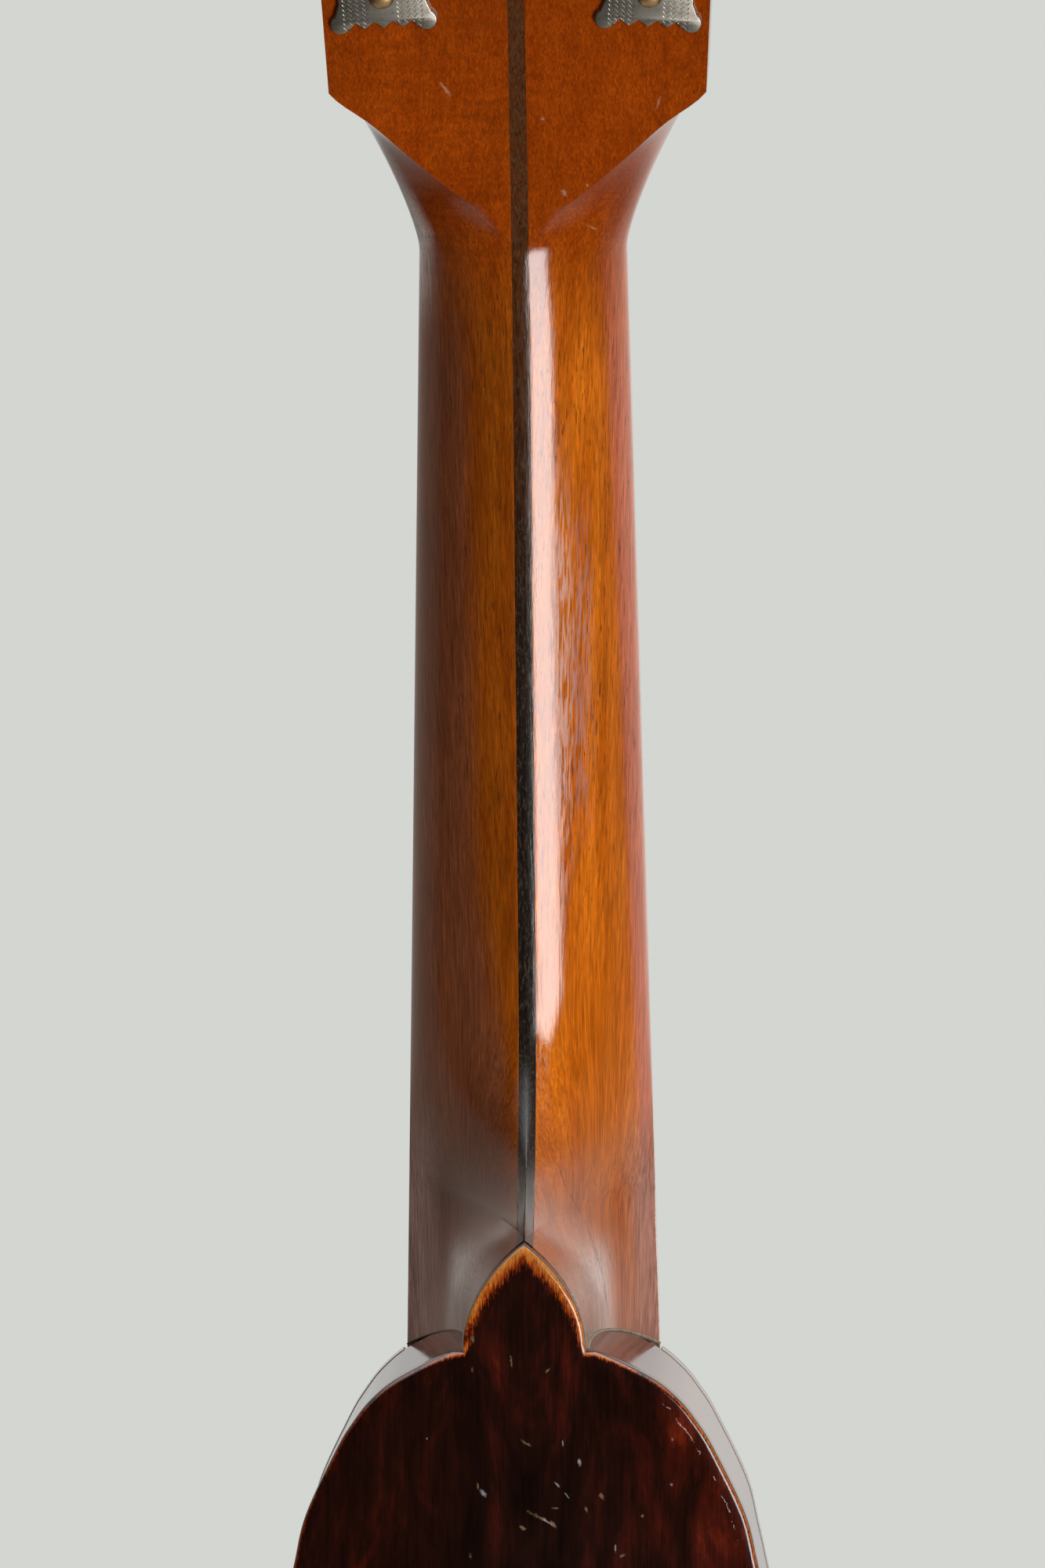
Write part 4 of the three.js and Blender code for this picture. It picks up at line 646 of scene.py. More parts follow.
def note_edge_distance(piece, outline):
    """Each point's distance from the outline, in metres, for the material"""
    points = dense(outline)
    tree = KDTree(len(points))
    for i, (x, z) in enumerate(points):
        tree.insert((x * MM, 0, z * MM), i)
    tree.balance()
    note(piece, "edge", "FLOAT", "value", [tree.find((v.co.x, 0, v.co.z))[2] for v in piece.data.vertices])


def make_back():
    outline = back_outline()
    hollow = BACK_ARCH + BACK - BACK_INNER - BACK_THICKNESS
    skin = carved_plate(outline, BACK_TABLE, BACK, BACK_INNER, 1, BACK_ARCH, hollow, BACK_EDGE)
    piece = skin.finish("back", "back_wood", ["back_plate"])
    note_edge_distance(piece, outline)
    return piece


def make_top():
    outline = moved_in(PEAR, TOP_INSET)
    hollow = TOP_ARCH + TOP_INNER - FRONT - TOP_THICKNESS
    skin = carved_plate(outline, TOP_TABLE, FRONT, TOP_INNER, -1, TOP_ARCH, hollow, TOP_EDGE)
    piece = skin.finish("top", "top_wood", ["top_plate"])
    cut_away(piece, hole_path(0), FRONT - 2 * TOP_ARCH, BACK)
    note_edge_distance(piece, outline)
    return piece


def make_rim(name, side):
    """A rim from the middle of the tail to the neck's mortise, and across to the middle"""
    inner = dict(zip(PEAR, moved_in(PEAR, RIM_THICKNESS)))
    wall = [p for p in PEAR if p[0] * side > MORTISE_HALF_WIDTH]
    near_middle = [p for p in PEAR if 0 <= p[0] * side <= MORTISE_HALF_WIDTH]
    wall += [(x, z) for x, z in near_middle if abs(x) < 1e-6 or z < RIM_TAIL]
    wall.sort(key=lambda p: math.atan2(abs(p[0]), p[1] - ARCH_CENTER_Z))
    skin = Skin(band(wall, [inner[p] for p in wall], RIM_SECTION))
    return skin.finish("side_" + name, "side_wood", ["rim_" + name])


def make_binding():
    """The strip round the top's edge, open where the fingerboard's end lies"""
    outlines = [moved_in(PEAR, inset - TOP_OVERHANG) for inset in (0, BINDING_WIDTH)]
    pairs = [(a, b) for a, b in zip(*outlines) if abs(a[0]) > FINGERBOARD_GAP or a[1] < ARCH_CENTER_Z]
    return Skin(band(*zip(*pairs), BINDING_SECTION)).finish("top_edge_binding", "binding", ["top_binding"])


def make_rosette():
    paths = []
    for share, lift in ROSETTE_SECTION:
        path = hole_path(ROSETTE_INSET + share * ROSETTE_WIDTH)
        paths.append([Vector((x, top_face_y(x, z, lift), z)) for x, z in path])
    rings = list(zip(*paths))
    skin = Skin()
    skin.loft(rings + rings[:1], caps=False)
    return skin.finish("rosette", "ring_inlay", ["soundhole_ring"])


# Fingerboard, its frets and dots
DOTS = [(5, 0), (7, 0), (10, 0), (12, -7), (12, 7), (15, 0), (17, 0)]
DOT_RADIUS = 2.6
DOT_DEPTH = 0.3
FRET_HALF_WIDTH = 1.1
FRET_ENDS = ((-1, 0.3), (-0.985, 0.85), (-0.96, 1), (0.96, 1), (0.985, 0.85), (1, 0.3))
PAD_HALF_WIDTH = 17
BOARD_BINDING_SECTION = [
    (0, -GLUE_GAP), (0, 0.5 - BOARD_THICKNESS), (0.12, 0.15 - BOARD_THICKNESS), (0.35, -BOARD_THICKNESS),
    (1, -BOARD_THICKNESS), (1, -GLUE_GAP),
]


def board_outline(inset, end):
    """Down the bass side and up the treble side, from the nut to the end"""
    near, far = board_half_width(0) - inset, board_half_width(end) - inset
    return [(-near, -GLUE_GAP), (-far, -end), (far, -end), (near, -GLUE_GAP)]


def make_board():
    skin = Skin()
    outline = board_outline(BOARD_BINDING + GLUE_GAP, BOARD_LENGTH - BOARD_BINDING)
    skin.slab(outline, -BOARD_THICKNESS, -GLUE_GAP, BOARD_EDGE, NECK_FRAME)
    return skin.finish("board", "board_ebony", ["fingerboard"])


def make_pad():
    """The wood between the fingerboard's end and the top's arch"""
    rings = []
    for x in spread(-PAD_HALF_WIDTH, PAD_HALF_WIDTH, 9):
        board = [NECK_FRAME @ Vector((x, -0.5, -s)) for s in spread(JOINT_S + 12, BOARD_LENGTH - 3, 16)]
        top = [Vector((x, min(top_face_y(x, p.z, 0.05), FRONT + 2), p.z)) for p in board]
        rings.append(board + top[::-1])
    return Skin(rings).finish("board_pad", "board_ebony", ["fingerboard"])


def make_board_binding():
    outer = board_outline(0, BOARD_LENGTH)
    inner = board_outline(BOARD_BINDING, BOARD_LENGTH - BOARD_BINDING)
    rings = [[NECK_FRAME @ p for p in ring] for ring in band(outer, inner, BOARD_BINDING_SECTION)]
    return Skin(rings).finish("board_edge_binding", "binding", ["fingerboard_binding"])


def make_frets():
    skin = Skin()
    foot = 0.4 - BOARD_THICKNESS
    for n in range(1, FRET_COUNT + 1):
        s = fret_place(n)
        half = board_half_width(s) - BOARD_BINDING - GLUE_GAP
        rings = []
        for end, size in FRET_ENDS:
            section = arc((0, -BOARD_THICKNESS), (FRET_HALF_WIDTH, -size), 0, math.pi, 9)
            section += [(-FRET_HALF_WIDTH, foot), (FRET_HALF_WIDTH, foot)]
            rings.append([NECK_FRAME @ Vector((end * half, y, z - s)) for z, y in section])
        skin.loft(rings)
    return skin.finish("frets", "nickel_plate", ["fingerboard"])


def make_dots():
    skin = Skin()
    for n, x in DOTS:
        s = (fret_place(n) + fret_place(n - 1)) / 2
        place = NECK_FRAME @ Matrix.Translation((x, -BOARD_THICKNESS - 0.04, -s)) @ TO_FRONT
        skin.turned([(0, -DOT_DEPTH), (DOT_RADIUS, -DOT_DEPTH), (DOT_RADIUS, 0), (0, 0)], 28, place)
    return skin.finish("position_dots", "bone", ["fingerboard"])


# Small CAD pieces with their edges softened
def softened(name, node, width, body="mandola"):
    piece = add_object(name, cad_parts[node].data.copy())
    apply_modifier(
        piece, "BEVEL", width=width * MM, segments=2, limit_method="ANGLE", angle_limit=math.radians(30),
        use_clamp_overlap=True,
    )
    shade(piece.data, 40)
    return declare(piece, [node], body)


# Tuners. On a plate, x runs across it, y away from the headstock and z towards the crest
HEAD_DEPTH = HEAD_THICKNESS + VENEER_THICKNESS
PLATE_EDGE = 0.22
PLATE_HALF_WIDTH = 7.1
PLATE_LOW_END = 14.5
PLATE_HIGH_END = 19.0
LAST_TUNER = (TUNERS_PER_SIDE - 1) * TUNER_SPACING
PLATE_TEETH = [
    (0, 0.6), (0.7, 1.25), (1.5, 1.75), (2.3, 1.25), (3.1, 0.6), (3.8, 1.2), (4.6, 1.75), (5.2, 1.0),
    (5.65, 0.5),
]
LOBE_CENTER = (6.95, 1.65)
LOBE_RADII = (1.65, 1.65)
LOBE_TURN = (-0.9 * math.pi, 0.33 * math.pi)
SCREW_FROM_END = 6.2
SCREW_FROM_TUNER = 8.2
SCREW_DOME = [(0.01, -0.4), (2.1, -0.4), (2.1, 0.15)] + arc((0, 0.15), (2.1, 1.0), 0.1, math.pi / 2, 9)
WHEEL_TEETH = 14
WHEEL_HALF_WIDTH = 1.4
WHEEL_EDGE = 0.2
WORM_PITCH = 2.4
WORM_TURNS = 2.5
WHEEL_RADIUS = WHEEL_TEETH * WORM_PITCH / (2 * math.pi)
WORM_UP = WHEEL_RADIUS + 2.6
WORM_OUT = 4.7
EAR_X = 5.6
EAR_FOOT = 0.5
EAR_RADIUS = 2.3
EAR_SHAPE = [(-EAR_RADIUS, EAR_FOOT), (EAR_RADIUS, EAR_FOOT)] + arc(
    (0, WORM_OUT - 0.2), (EAR_RADIUS, EAR_RADIUS), 0, math.pi, 13)
EAR_SECTION = ((-0.6, 0.94), (-0.45, 1), (0.45, 1), (0.6, 0.94))
# Profiles of (radius, height): the post above the headstock's face and behind its back, a tooth and the rest
POST_FRONT = [(0, 13), (1.9, 13), (2.6, 12.7), (3, 11.9), (3, 9.8), (2.6, 8.7), (2.6, 2.5), (3, 1.4)]
POST_END = [(3, 2.0), (2.6, -0.2), (0, -0.2)]
TOOTH = ((-0.5, -0.7), (-0.36, -0.1), (-0.225, 0.62), (0.225, 0.62), (0.36, -0.1), (0.5, -0.7), (0.62, -0.82))
WHEEL_SCREW = [(0, 0), (2.3, 0), (2.3, 0.45), (1.9, 0.8), (0, 0.9)]
BUSHING = [(3.25, -1), (3.25, 1.5), (3.6, 1.75), (5.0, 1.0), (5.6, 0.3), (5.6, 0), (4.2, -1)]
WORM_SHAFT = [
    (0, -6.8), (1.1, -6.8), (1.4, -6.5), (1.4, -4.7), (1.7, -4.7), (1.7, 4.7), (1.4, 4.7), (1.4, 20), (0, 20),
]
WORM_THREAD = [(-0.5, 1.46), (-0.34, 2.2), (-0.2, 2.9), (0.2, 2.9), (0.34, 2.2), (0.5, 1.46)]
KNOB_START = 16
KNOB_LENGTH = 15
KNOB_HALF_WIDTH = 8
# How wide the knob is along its length, both as shares
KNOB_SHARES = (
    (0, 0.3), (0.015, 0.34), (0.09, 0.34), (0.13, 0.42), (0.2, 0.6), (0.3, 0.8), (0.42, 0.95), (0.55, 1.0),
    (0.68, 0.96), (0.8, 0.84), (0.89, 0.66), (0.95, 0.46), (0.985, 0.25), (1, 0.02),
)


def tuner_frame(side):
    place = Matrix.Translation((side * FIRST_TUNER_X, HEAD_THICKNESS, FIRST_TUNER))
    return HEAD_FRAME @ place @ Matrix.Rotation(side * PLATE_LEAN, 4, "Y")


def plate_outline():
    end = PLATE_TEETH + arc(LOBE_CENTER, LOBE_RADII, *LOBE_TURN, 12) + [(PLATE_HALF_WIDTH, 5.0)]
    half = [(x, z - PLATE_LOW_END) for x, z in end]
    half += [(x, LAST_TUNER + PLATE_HIGH_END - z) for x, z in reversed(end)]
    return half + [(-x, z) for x, z in reversed(half) if x > 0]


def make_plate(name, place):
    skin = Skin()
    skin.slab(plate_outline(), GLUE_GAP, PLATE_THICKNESS, PLATE_EDGE, place)
    for i in range(TUNERS_PER_SIDE):
        z = i * TUNER_SPACING + WORM_UP
        for x in (-EAR_X, EAR_X):
            ears = [[(x + dx, y, z + w * k) for w, y in EAR_SHAPE] for dx, k in EAR_SECTION]
            skin.loft([[place @ Vector(p) for p in points] for points in ears])
    plate = skin.finish("plate_" + name, "tuner_plate", ["tuner_plate_" + name])
    back = place.inverted()
    places = [c for v in plate.data.vertices for c in (back @ (v.co / MM)) * MM]
    note(plate, "plate_place", "FLOAT_VECTOR", "vector", places)
    return plate


def make_screws(name, place):
    skin = Skin()
    ends = [SCREW_FROM_END - PLATE_LOW_END, LAST_TUNER + PLATE_HIGH_END - SCREW_FROM_END]
    for z in ends + [i * TUNER_SPACING - SCREW_FROM_TUNER for i in range(1, TUNERS_PER_SIDE)]:
        skin.turned(SCREW_DOME, 32, place @ Matrix.Translation((0, PLATE_THICKNESS - 0.05, z)) @ TO_BACK)
    return skin.finish("screws_" + name, "gear_brass", ["tuner_plate_" + name])


def make_post(tag, place):
    skin = Skin()
    profile = [(r, HEAD_DEPTH + z) for r, z in POST_FRONT] + [(r, z - WORM_OUT) for r, z in POST_END]
    skin.turned(profile, 32, place @ TO_FRONT)
    teeth = []
    for middle in circle(WHEEL_TEETH):
        for off, out in TOOTH:
            r = WHEEL_RADIUS + out
            angle = math.pi / 2 + middle + off / r
            teeth.append((r * math.cos(angle), r * math.sin(angle)))
    skin.slab(teeth, WORM_OUT - WHEEL_HALF_WIDTH, WORM_OUT + WHEEL_HALF_WIDTH, WHEEL_EDGE, place)
    screw_at = Matrix.Translation((0, WORM_OUT + WHEEL_HALF_WIDTH - 0.05, 0))
    skin.turned(WHEEL_SCREW, 28, place @ screw_at @ TO_BACK)
    return skin.finish("post_" + tag, "gear_brass", ["tuner_post_" + tag], "post_" + tag)


def make_bushing(tag, place):
    skin = Skin()
    skin.turned([(r, HEAD_DEPTH + z) for r, z in BUSHING], 40, place @ TO_FRONT)
    return skin.finish("bushing_" + tag, "nickel_plate")


def make_worm(tag, place):
    skin = Skin()
    skin.turned(WORM_SHAFT, 24, place @ Matrix.Rotation(math.pi / 2, 4, "Y"))
    rings = []
    for turns in spread(-WORM_TURNS / 2, WORM_TURNS / 2, 61):
        a = 2 * math.pi * turns + math.pi / 2
        points = [(WORM_PITCH * turns + x, r * math.cos(a), r * math.sin(a)) for x, r in WORM_THREAD]
        rings.append([place @ Vector(p) for p in points])
    skin.loft(rings)
    return skin.finish("worm_" + tag, "worm_steel", ["tuner_worm_" + tag], "key_" + tag)


def squared(value):
    return math.copysign(abs(value) ** 0.8, value)


def make_knob(tag, place):
    rings = []
    for share, wide in KNOB_SHARES:
        x = KNOB_START + share * KNOB_LENGTH
        end = 1 if share < 0.85 else math.sqrt(max(0.02, (1.0 - share) / 0.15))
        thick = min(3.4, 2.4 + 1.2 * wide) * min(1.0, 0.45 + wide) * end
        half = KNOB_HALF_WIDTH * wide
        points = [(x, squared(math.cos(a)) * half, squared(math.sin(a)) * thick) for a in circle(36)]
        rings.append([place @ Vector(p) for p in points])
    return Skin(rings).finish("knob_" + tag, "knob", ["tuner_knob_" + tag], "key_" + tag, 60)


def make_tuners():
    groups = {kind: [] for kind in ("plates", "screws", "posts", "worms", "knobs", "bushings")}
    for name, side in SIDES.items():
        plate_at = tuner_frame(side)
        groups["plates"].append(make_plate(name, plate_at))
        groups["screws"].append(make_screws(name, plate_at))
        for i in range(TUNERS_PER_SIDE):
            tag = "%s_%d" % (name, i + 1)
            at = plate_at @ Matrix.Translation((0, 0, i * TUNER_SPACING))
            key_at = at @ Matrix.Translation((0, WORM_OUT, WORM_UP))
            if side < 0:
                key_at = key_at @ Matrix.Rotation(math.pi, 4, "Z")
            groups["posts"].append(make_post(tag, at))
            groups["worms"].append(make_worm(tag, key_at))
            groups["knobs"].append(make_knob(tag, key_at))
            groups["bushings"].append(make_bushing(tag, at))
    return groups


# Strings, each one tube from its hook to its turns on the post
COURSE_RADII = [0.62, 0.46, 0.32, 0.2]
# How far apart the courses lie, and the two strings of one
NUT_SPACING = (8.2, 2.4)
BRIDGE_SPACING = (13, 3)
TAIL_PLATE = 1.0
TAIL_LENGTH = 50.0
HOOK_SPREAD = 40.0 / 52
HOOK_UP = 1.3
HOOK_Z = 30.3
STRING_GAP = 0.12
SLOT_DEPTH = 0.5
POST_RADIUS = 3
POST_TURNS = 2.5
TURN_GAP = 0.5
FIRST_TURN_UP = VENEER_THICKNESS + 8.2


def tail_frame():
    rise = FRONT - top_face_y(0, TAIL_Z + TAIL_LENGTH) + GLUE_GAP
    place = Matrix.Translation((0, FRONT - 0.35, TAIL_Z - PLATE_OVERHANG))
    return place @ Matrix.Rotation(math.atan(rise / TAIL_LENGTH), 4, "X")


def string_path(radius, nut_x, bridge_x, side, index):
    rise = radius - SLOT_DEPTH + STRING_GAP
    crest = BRIDGE_CREST_WIDTH / 2
    path = [tail_frame() @ Vector((bridge_x * HOOK_SPREAD, -TAIL_PLATE - HOOK_UP, HOOK_Z))]
    for x, s, up in ((bridge_x, BRIDGE_S + crest, BRIDGE_TOP), (bridge_x, BRIDGE_S - crest, BRIDGE_TOP),
                     (nut_x, 0, NUT_TOP), (nut_x, -NUT_LENGTH / 2, NUT_TOP)):
        path.append(NECK_FRAME @ Vector((x, -up - rise, -s)))
    down_plate = index * TUNER_SPACING
    post_x = side * (FIRST_TUNER_X + down_plate * math.sin(PLATE_LEAN))
    post_z = FIRST_TUNER + down_plate * math.cos(PLATE_LEAN)
    reach = POST_RADIUS + radius + STRING_GAP
    for turns in spread(0, POST_TURNS, 101):
        a = 2 * math.pi * turns
        x, z = post_x - side * reach * math.cos(a), post_z + reach * math.sin(a)
        path.append(HEAD_FRAME @ Vector((x, turns * (2 * radius + TURN_GAP) - FIRST_TURN_UP, z)))
    return path


def make_strings():
    """The two bass courses are wound and run to the bass side's posts"""
    groups = {"wound": [], "plain": []}
    for number in range(8):
        course, mate = divmod(number, 2)
        nut_x, bridge_x = (
            (course - 1.5) * apart + (mate - 0.5) * gap for apart, gap in (NUT_SPACING, BRIDGE_SPACING)
        )
        side, index, kind = (-1, number, "wound") if number < 4 else (1, 7 - number, "plain")
        skin = Skin()
        skin.tube(string_path(COURSE_RADII[course], nut_x, bridge_x, side, index), COURSE_RADII[course])
        label = "%d" % (number + 1)
        piece = skin.finish("string_wire_" + label, kind + "_wire", ["string_" + label], sharp=60)
        groups[kind].append(piece)
    return groups


# Materials
class Value:
    """What a material works out at each point: a number, a place or a colour"""

    def __init__(self, nodes, socket):
        self.nodes = nodes
        self.socket = socket

    def __add__(self, other):
        return self.nodes.math("ADD", self, other)

    def __sub__(self, other):
        return self.nodes.math("SUBTRACT", self, other)

    def __rsub__(self, other):
        return self.nodes.math("SUBTRACT", other, self)

    def __mul__(self, other):
        return self.nodes.math("MULTIPLY", self, other)

    def __truediv__(self, other):
        return self.nodes.math("DIVIDE", self, other)

    def __abs__(self):
        return self.nodes.math("ABSOLUTE", self)

    def at_least(self, other):
        return self.nodes.math("MAXIMUM", self, other)

    def length(self):
        return self.nodes.value("ShaderNodeVectorMath", "Value", {0: self}, operation="LENGTH")

    def step(self, low, high):
        """0 below low, 1 above high, smooth in between; low may be the greater of the two"""
        inputs = {"Value": self, "From Min": low, "From Max": high}
        return self.nodes.value("ShaderNodeMapRange", "Result", inputs, interpolation_type="SMOOTHSTEP")

    def ramp(self, *stops, mode="LINEAR"):
        """Goes through stops of (position, colour or number)"""
        result = self.nodes.value("ShaderNodeValToRGB", "Color", {"Fac": self})
        ramp = result.socket.node.color_ramp
        ramp.interpolation = mode
        while len(ramp.elements) < len(stops):
            ramp.elements.new(0.5)
        for element, (position, color) in zip(ramp.elements, stops):
            element.position = position
            element.color = (*color, 1) if isinstance(color, tuple) else (color, color, color, 1)
        return result

    def between(self, low, high):
        """From low to high over the range that noise mostly covers"""
        return self.ramp((0.3, low), (0.7, high))

    def blend(self, other, share, mode="MIX"):
        return self.nodes.mix(share, self, other, mode)

    def tinted(self, tint):
        return self.blend(tint, 1.0, "MULTIPLY")

    def shaded(self, value, low, high):
        """The colour, darker and lighter with the value"""
        return self.tinted(value.between(low, high))

    def bump(self, distance, strength=1.0):
        inputs = {"Height": self, "Distance": distance, "Strength": strength}
        return self.nodes.value("ShaderNodeBump", "Normal", inputs)


class Nodes:
    """A node tree, with short calls for the nodes it uses"""

    def __init__(self, tree):
        self.tree = tree

    def value(self, kind, output, inputs=(), **settings):
        """A new node's output; the inputs are values or plain numbers and colours"""
        node = self.tree.nodes.new(kind)
        for key, value in settings.items():
            setattr(node, key, value)
        for key, value in dict(inputs).items():
            socket = node.inputs[key]
            if isinstance(value, Value):
                self.tree.links.new(value.socket, socket)
            else:
                socket.default_value = (*value, 1) if socket.type == "RGBA" else value
        return Value(self, node.outputs[output])

    def math(self, operation, *values):
        return self.value("ShaderNodeMath", 0, enumerate(values), operation=operation)

    def mix(self, share, low, high, mode="MIX"):
        inputs = {0: share, 6: low, 7: high}
        return self.value("ShaderNodeMix", 2, inputs, data_type="RGBA", blend_type=mode)

    def place(self):
        return self.value("ShaderNodeTexCoord", "Object")

    def noise(self, scale, detail=4.0, roughness=0.55, stretch=(1, 1, 1), turn=(0, 0, 0), distortion=0.0):
        inputs = {"Vector": self.place(), "Scale": stretch, "Rotation": turn}
        place = self.value("ShaderNodeMapping", "Vector", inputs)
        inputs = {"Vector": place, "Scale": scale, "Detail": detail, "Roughness": roughness}
        return self.value("ShaderNodeTexNoise", "Fac", {**inputs, "Distortion": distortion})

    def axes(self, place=None):
        """The three parts of a place, or of where each point lies"""
        first = self.value("ShaderNodeSeparateXYZ", 0, {0: place or self.place()})
        return [Value(self, output) for output in first.socket.node.outputs]

    def marks(self, marks):
        """1 on small worn marks, each a centre, a half length, a half width and a turn"""
        ragged = self.noise(1100, 5, 0.75) * 3.0
        total = None
        for x, z, length, width, turn in marks:
            spot = self.value("ShaderNodeMapping", "Vector", {
                "Vector": self.place(), "Location": (x * MM, 0, z * MM),
                "Rotation": (0, math.radians(turn), 0), "Scale": (width * MM, 1, length * MM),
            }, vector_type="TEXTURE")
            inside = (ragged + spot.length()).step(2.3, 1.6)
            total = total.at_least(inside) if total else inside
        return total


class Shader(Nodes):
    """One material's nodes"""

    def __init__(self, name, **values):
        self.material = bpy.data.materials.new(name)
        self.material.use_nodes = True
        super().__init__(self.material.node_tree)
        self.surface = self.tree.nodes["Principled BSDF"]
        for key, value in values.items():
            self.surface.inputs[key.replace("_", " ")].default_value = value

    def finish(self, color, roughness, normal):
        for key, value in (("Base Color", color), ("Roughness", roughness), ("Normal", normal)):
            self.tree.links.new(value.socket, self.surface.inputs[key])
        return self.material


# Marks in the varnish: x and z in millimetres, half length, half width, degrees of turn
NECK_DENTS = [
    (11.6, 579.5, 2.2, 0.45, 35), (-22.6, 577.1, 1.8, 0.35, -20), (-7.3, 562, 1.1, 0.9, 0),
    (-11, 563.4, 0.5, 0.35, 0), (-11.5, 556, 1.6, 0.3, 60), (-4, 574.5, 0.7, 0.5, 0), (6, 529, 1.5, 0.2, 10),
]
BACK_CHIPS = [
    (-0.1, 361.3, 1.2, 0.35, 56), (-2.4, 349.2, 2.6, 0.45, 63), (-4.6, 348.0, 1.2, 0.4, 40),
    (0.5, 347.5, 0.9, 0.4, 50), (-4.9, 350.7, 1.0, 0.25, 90), (8.9, 343.0, 0.6, 0.5, 0),
    (-15.6, 343.0, 0.9, 0.4, -64), (2.1, 374.5, 1.5, 0.25, 6), (8.3, 378.2, 0.9, 0.5, 20),
    (7.6, 354.3, 0.8, 0.25, 0), (-3.9, 373.2, 0.8, 0.3, -40), (8.4, 373.2, 0.6, 0.25, 10),
    (-12.3, 352.8, 0.8, 0.5, 30), (-9.9, 350.3, 0.8, 0.4, 20), (-23.8, 361.9, 0.5, 0.3, 0),
    (-18.9, 349.4, 0.4, 0.3, 0),
]
BACK_SCRATCHES = [
    (-6.1, 361.4, 1.0, 0.2, 4), (-8.7, 358.3, 0.9, 0.45, 20), (-5.1, 354.6, 0.9, 0.22, 45),
    (-6.7, 352.8, 1.1, 0.22, 35), (-3.4, 348.6, 1.3, 0.25, 60), (-23.6, 354.5, 0.5, 0.4, 0),
    (6.8, 353.2, 1.0, 0.5, 40), (-14.5, 344.1, 1.0, 0.2, 0), (15.8, 362.1, 0.3, 0.25, 0),
]
# A hairline crack on the bass side of the heel
HEEL_CRACK = [
    (-3.5, 407.5), (-4.5, 404.9), (-6.2, 399.6), (-8.6, 394.2), (-10.4, 389.2), (-11.8, 383.9),
    (-12.6, 377.8),
]
HEEL_CRACK_HALF_WIDTH = 0.17
# The painted pale reflection on the neck's bass flank lies beyond x = FAR_SLOPE * z - FAR_START;
# the neck's outline on the treble side widens above FLARE_Z by FLARE_SLOPE
FAR_SLOPE = 0.031
FAR_START = 0.0172 + 0.031 * 0.43
FLARE_SLOPE = 0.49
FLARE_Z = 0.555
# The headstock's lower edge on the treble side runs along z = HEAD_EDGE_SLOPE * x + HEAD_EDGE_Z
HEAD_EDGE_SLOPE = 0.79
HEAD_EDGE_Z = 0.5543
# Where the smudge and its painted reflection lie on the neck, in metres
SMUDGE_AND_SHEEN_PLACE = (-0.0074, 0.484)


def strokes(points, width):
    """Marks that follow a line of points"""
    marks = []
    for (ax, az), (bx, bz) in zip(points, points[1:]):
        turn = math.degrees(math.atan2(ax - bx, az - bz))
        marks.append(((ax + bx) / 2, (az + bz) / 2, math.hypot(ax - bx, az - bz), width, turn))
    return marks


def neck_ground(x, z, head, broad):
    """The neck's broad colours: warm, redder on the headstock, brown towards the treble side's edge; painted
    shade darkens the neck's treble half and a painted pale reflection lies on the bass flank
    """
    on_neck = 1.0 - head
    worn = broad.between((0.41, 0.08, 0.003), (0.63, 0.155, 0.008))
    red = broad.between((0.27, 0.038, 0.0012), (0.35, 0.056, 0.002))
    color = worn.blend(red, head)
    flank = x + (broad * 0.006 - 0.003)
    # Painted shade: the neck's treble half, turned away from the light, is darkened
    color = color.blend(color.tinted((0.44, 0.42, 0.4)), flank.step(-0.0005, 0.002) * on_neck)
    toward_heel = z.step(0.46, 0.4)
    edge = flank.step(toward_heel * -0.006 + 0.006, toward_heel * -0.007 + 0.0115)
    color = color.blend((0.15, 0.047, 0.021), edge * on_neck * 0.8)
    # Painted reflection: a paler, pinker band on the bass flank stands in for the pale room it reflects
    far = (x + (z * -FAR_SLOPE + FAR_START)).step(0.0009, -0.0005) * on_neck
    return color.blend((0.5, 0.125, 0.06), far * 0.9)


def painted_neck_sheen(shader, color, x, z):
    """Painted pale reflections on the heel's cap and cheeks and below the treble side's flare, over a darker,
    cooler tone on the heel
    """
    low = z.step(0.415, 0.395)
    color = color.blend(color.tinted((0.74, 0.72, 0.8)), low)
    off_center = abs(x)
    on_treble = x.step(-0.001, 0.001)
    # Painted reflection: pale grey over the heel's cap by the button, paler on the treble side
    cap = off_center.step(0.0145, 0.0108) * z.step(0.3925, 0.383) * 0.8
    color = color.blend(shader.mix(on_treble, (0.54, 0.43, 0.385), (0.62, 0.56, 0.52)), cap)
    # Painted reflection: a pale band down each cheek of the heel
    cheek = off_center.step(0.0135, 0.0185) * low * 0.85
    color = color.blend(shader.mix(on_treble, (0.37, 0.19, 0.145), (0.47, 0.3, 0.24)), cheek)
    # Painted reflection: pale colour in the cove below the treble side's flare
    out_from_neck = x - (z * FLARE_SLOPE - FLARE_SLOPE * FLARE_Z).at_least(0.0)
    below_head = (x * HEAD_EDGE_SLOPE + HEAD_EDGE_Z) - z
    flare = out_from_neck.step(0.0135, 0.0165) * below_head.step(0.0002, 0.0016) * z.step(0.536, 0.554)
    return color.blend((0.74, 0.67, 0.62), flare * 0.85)


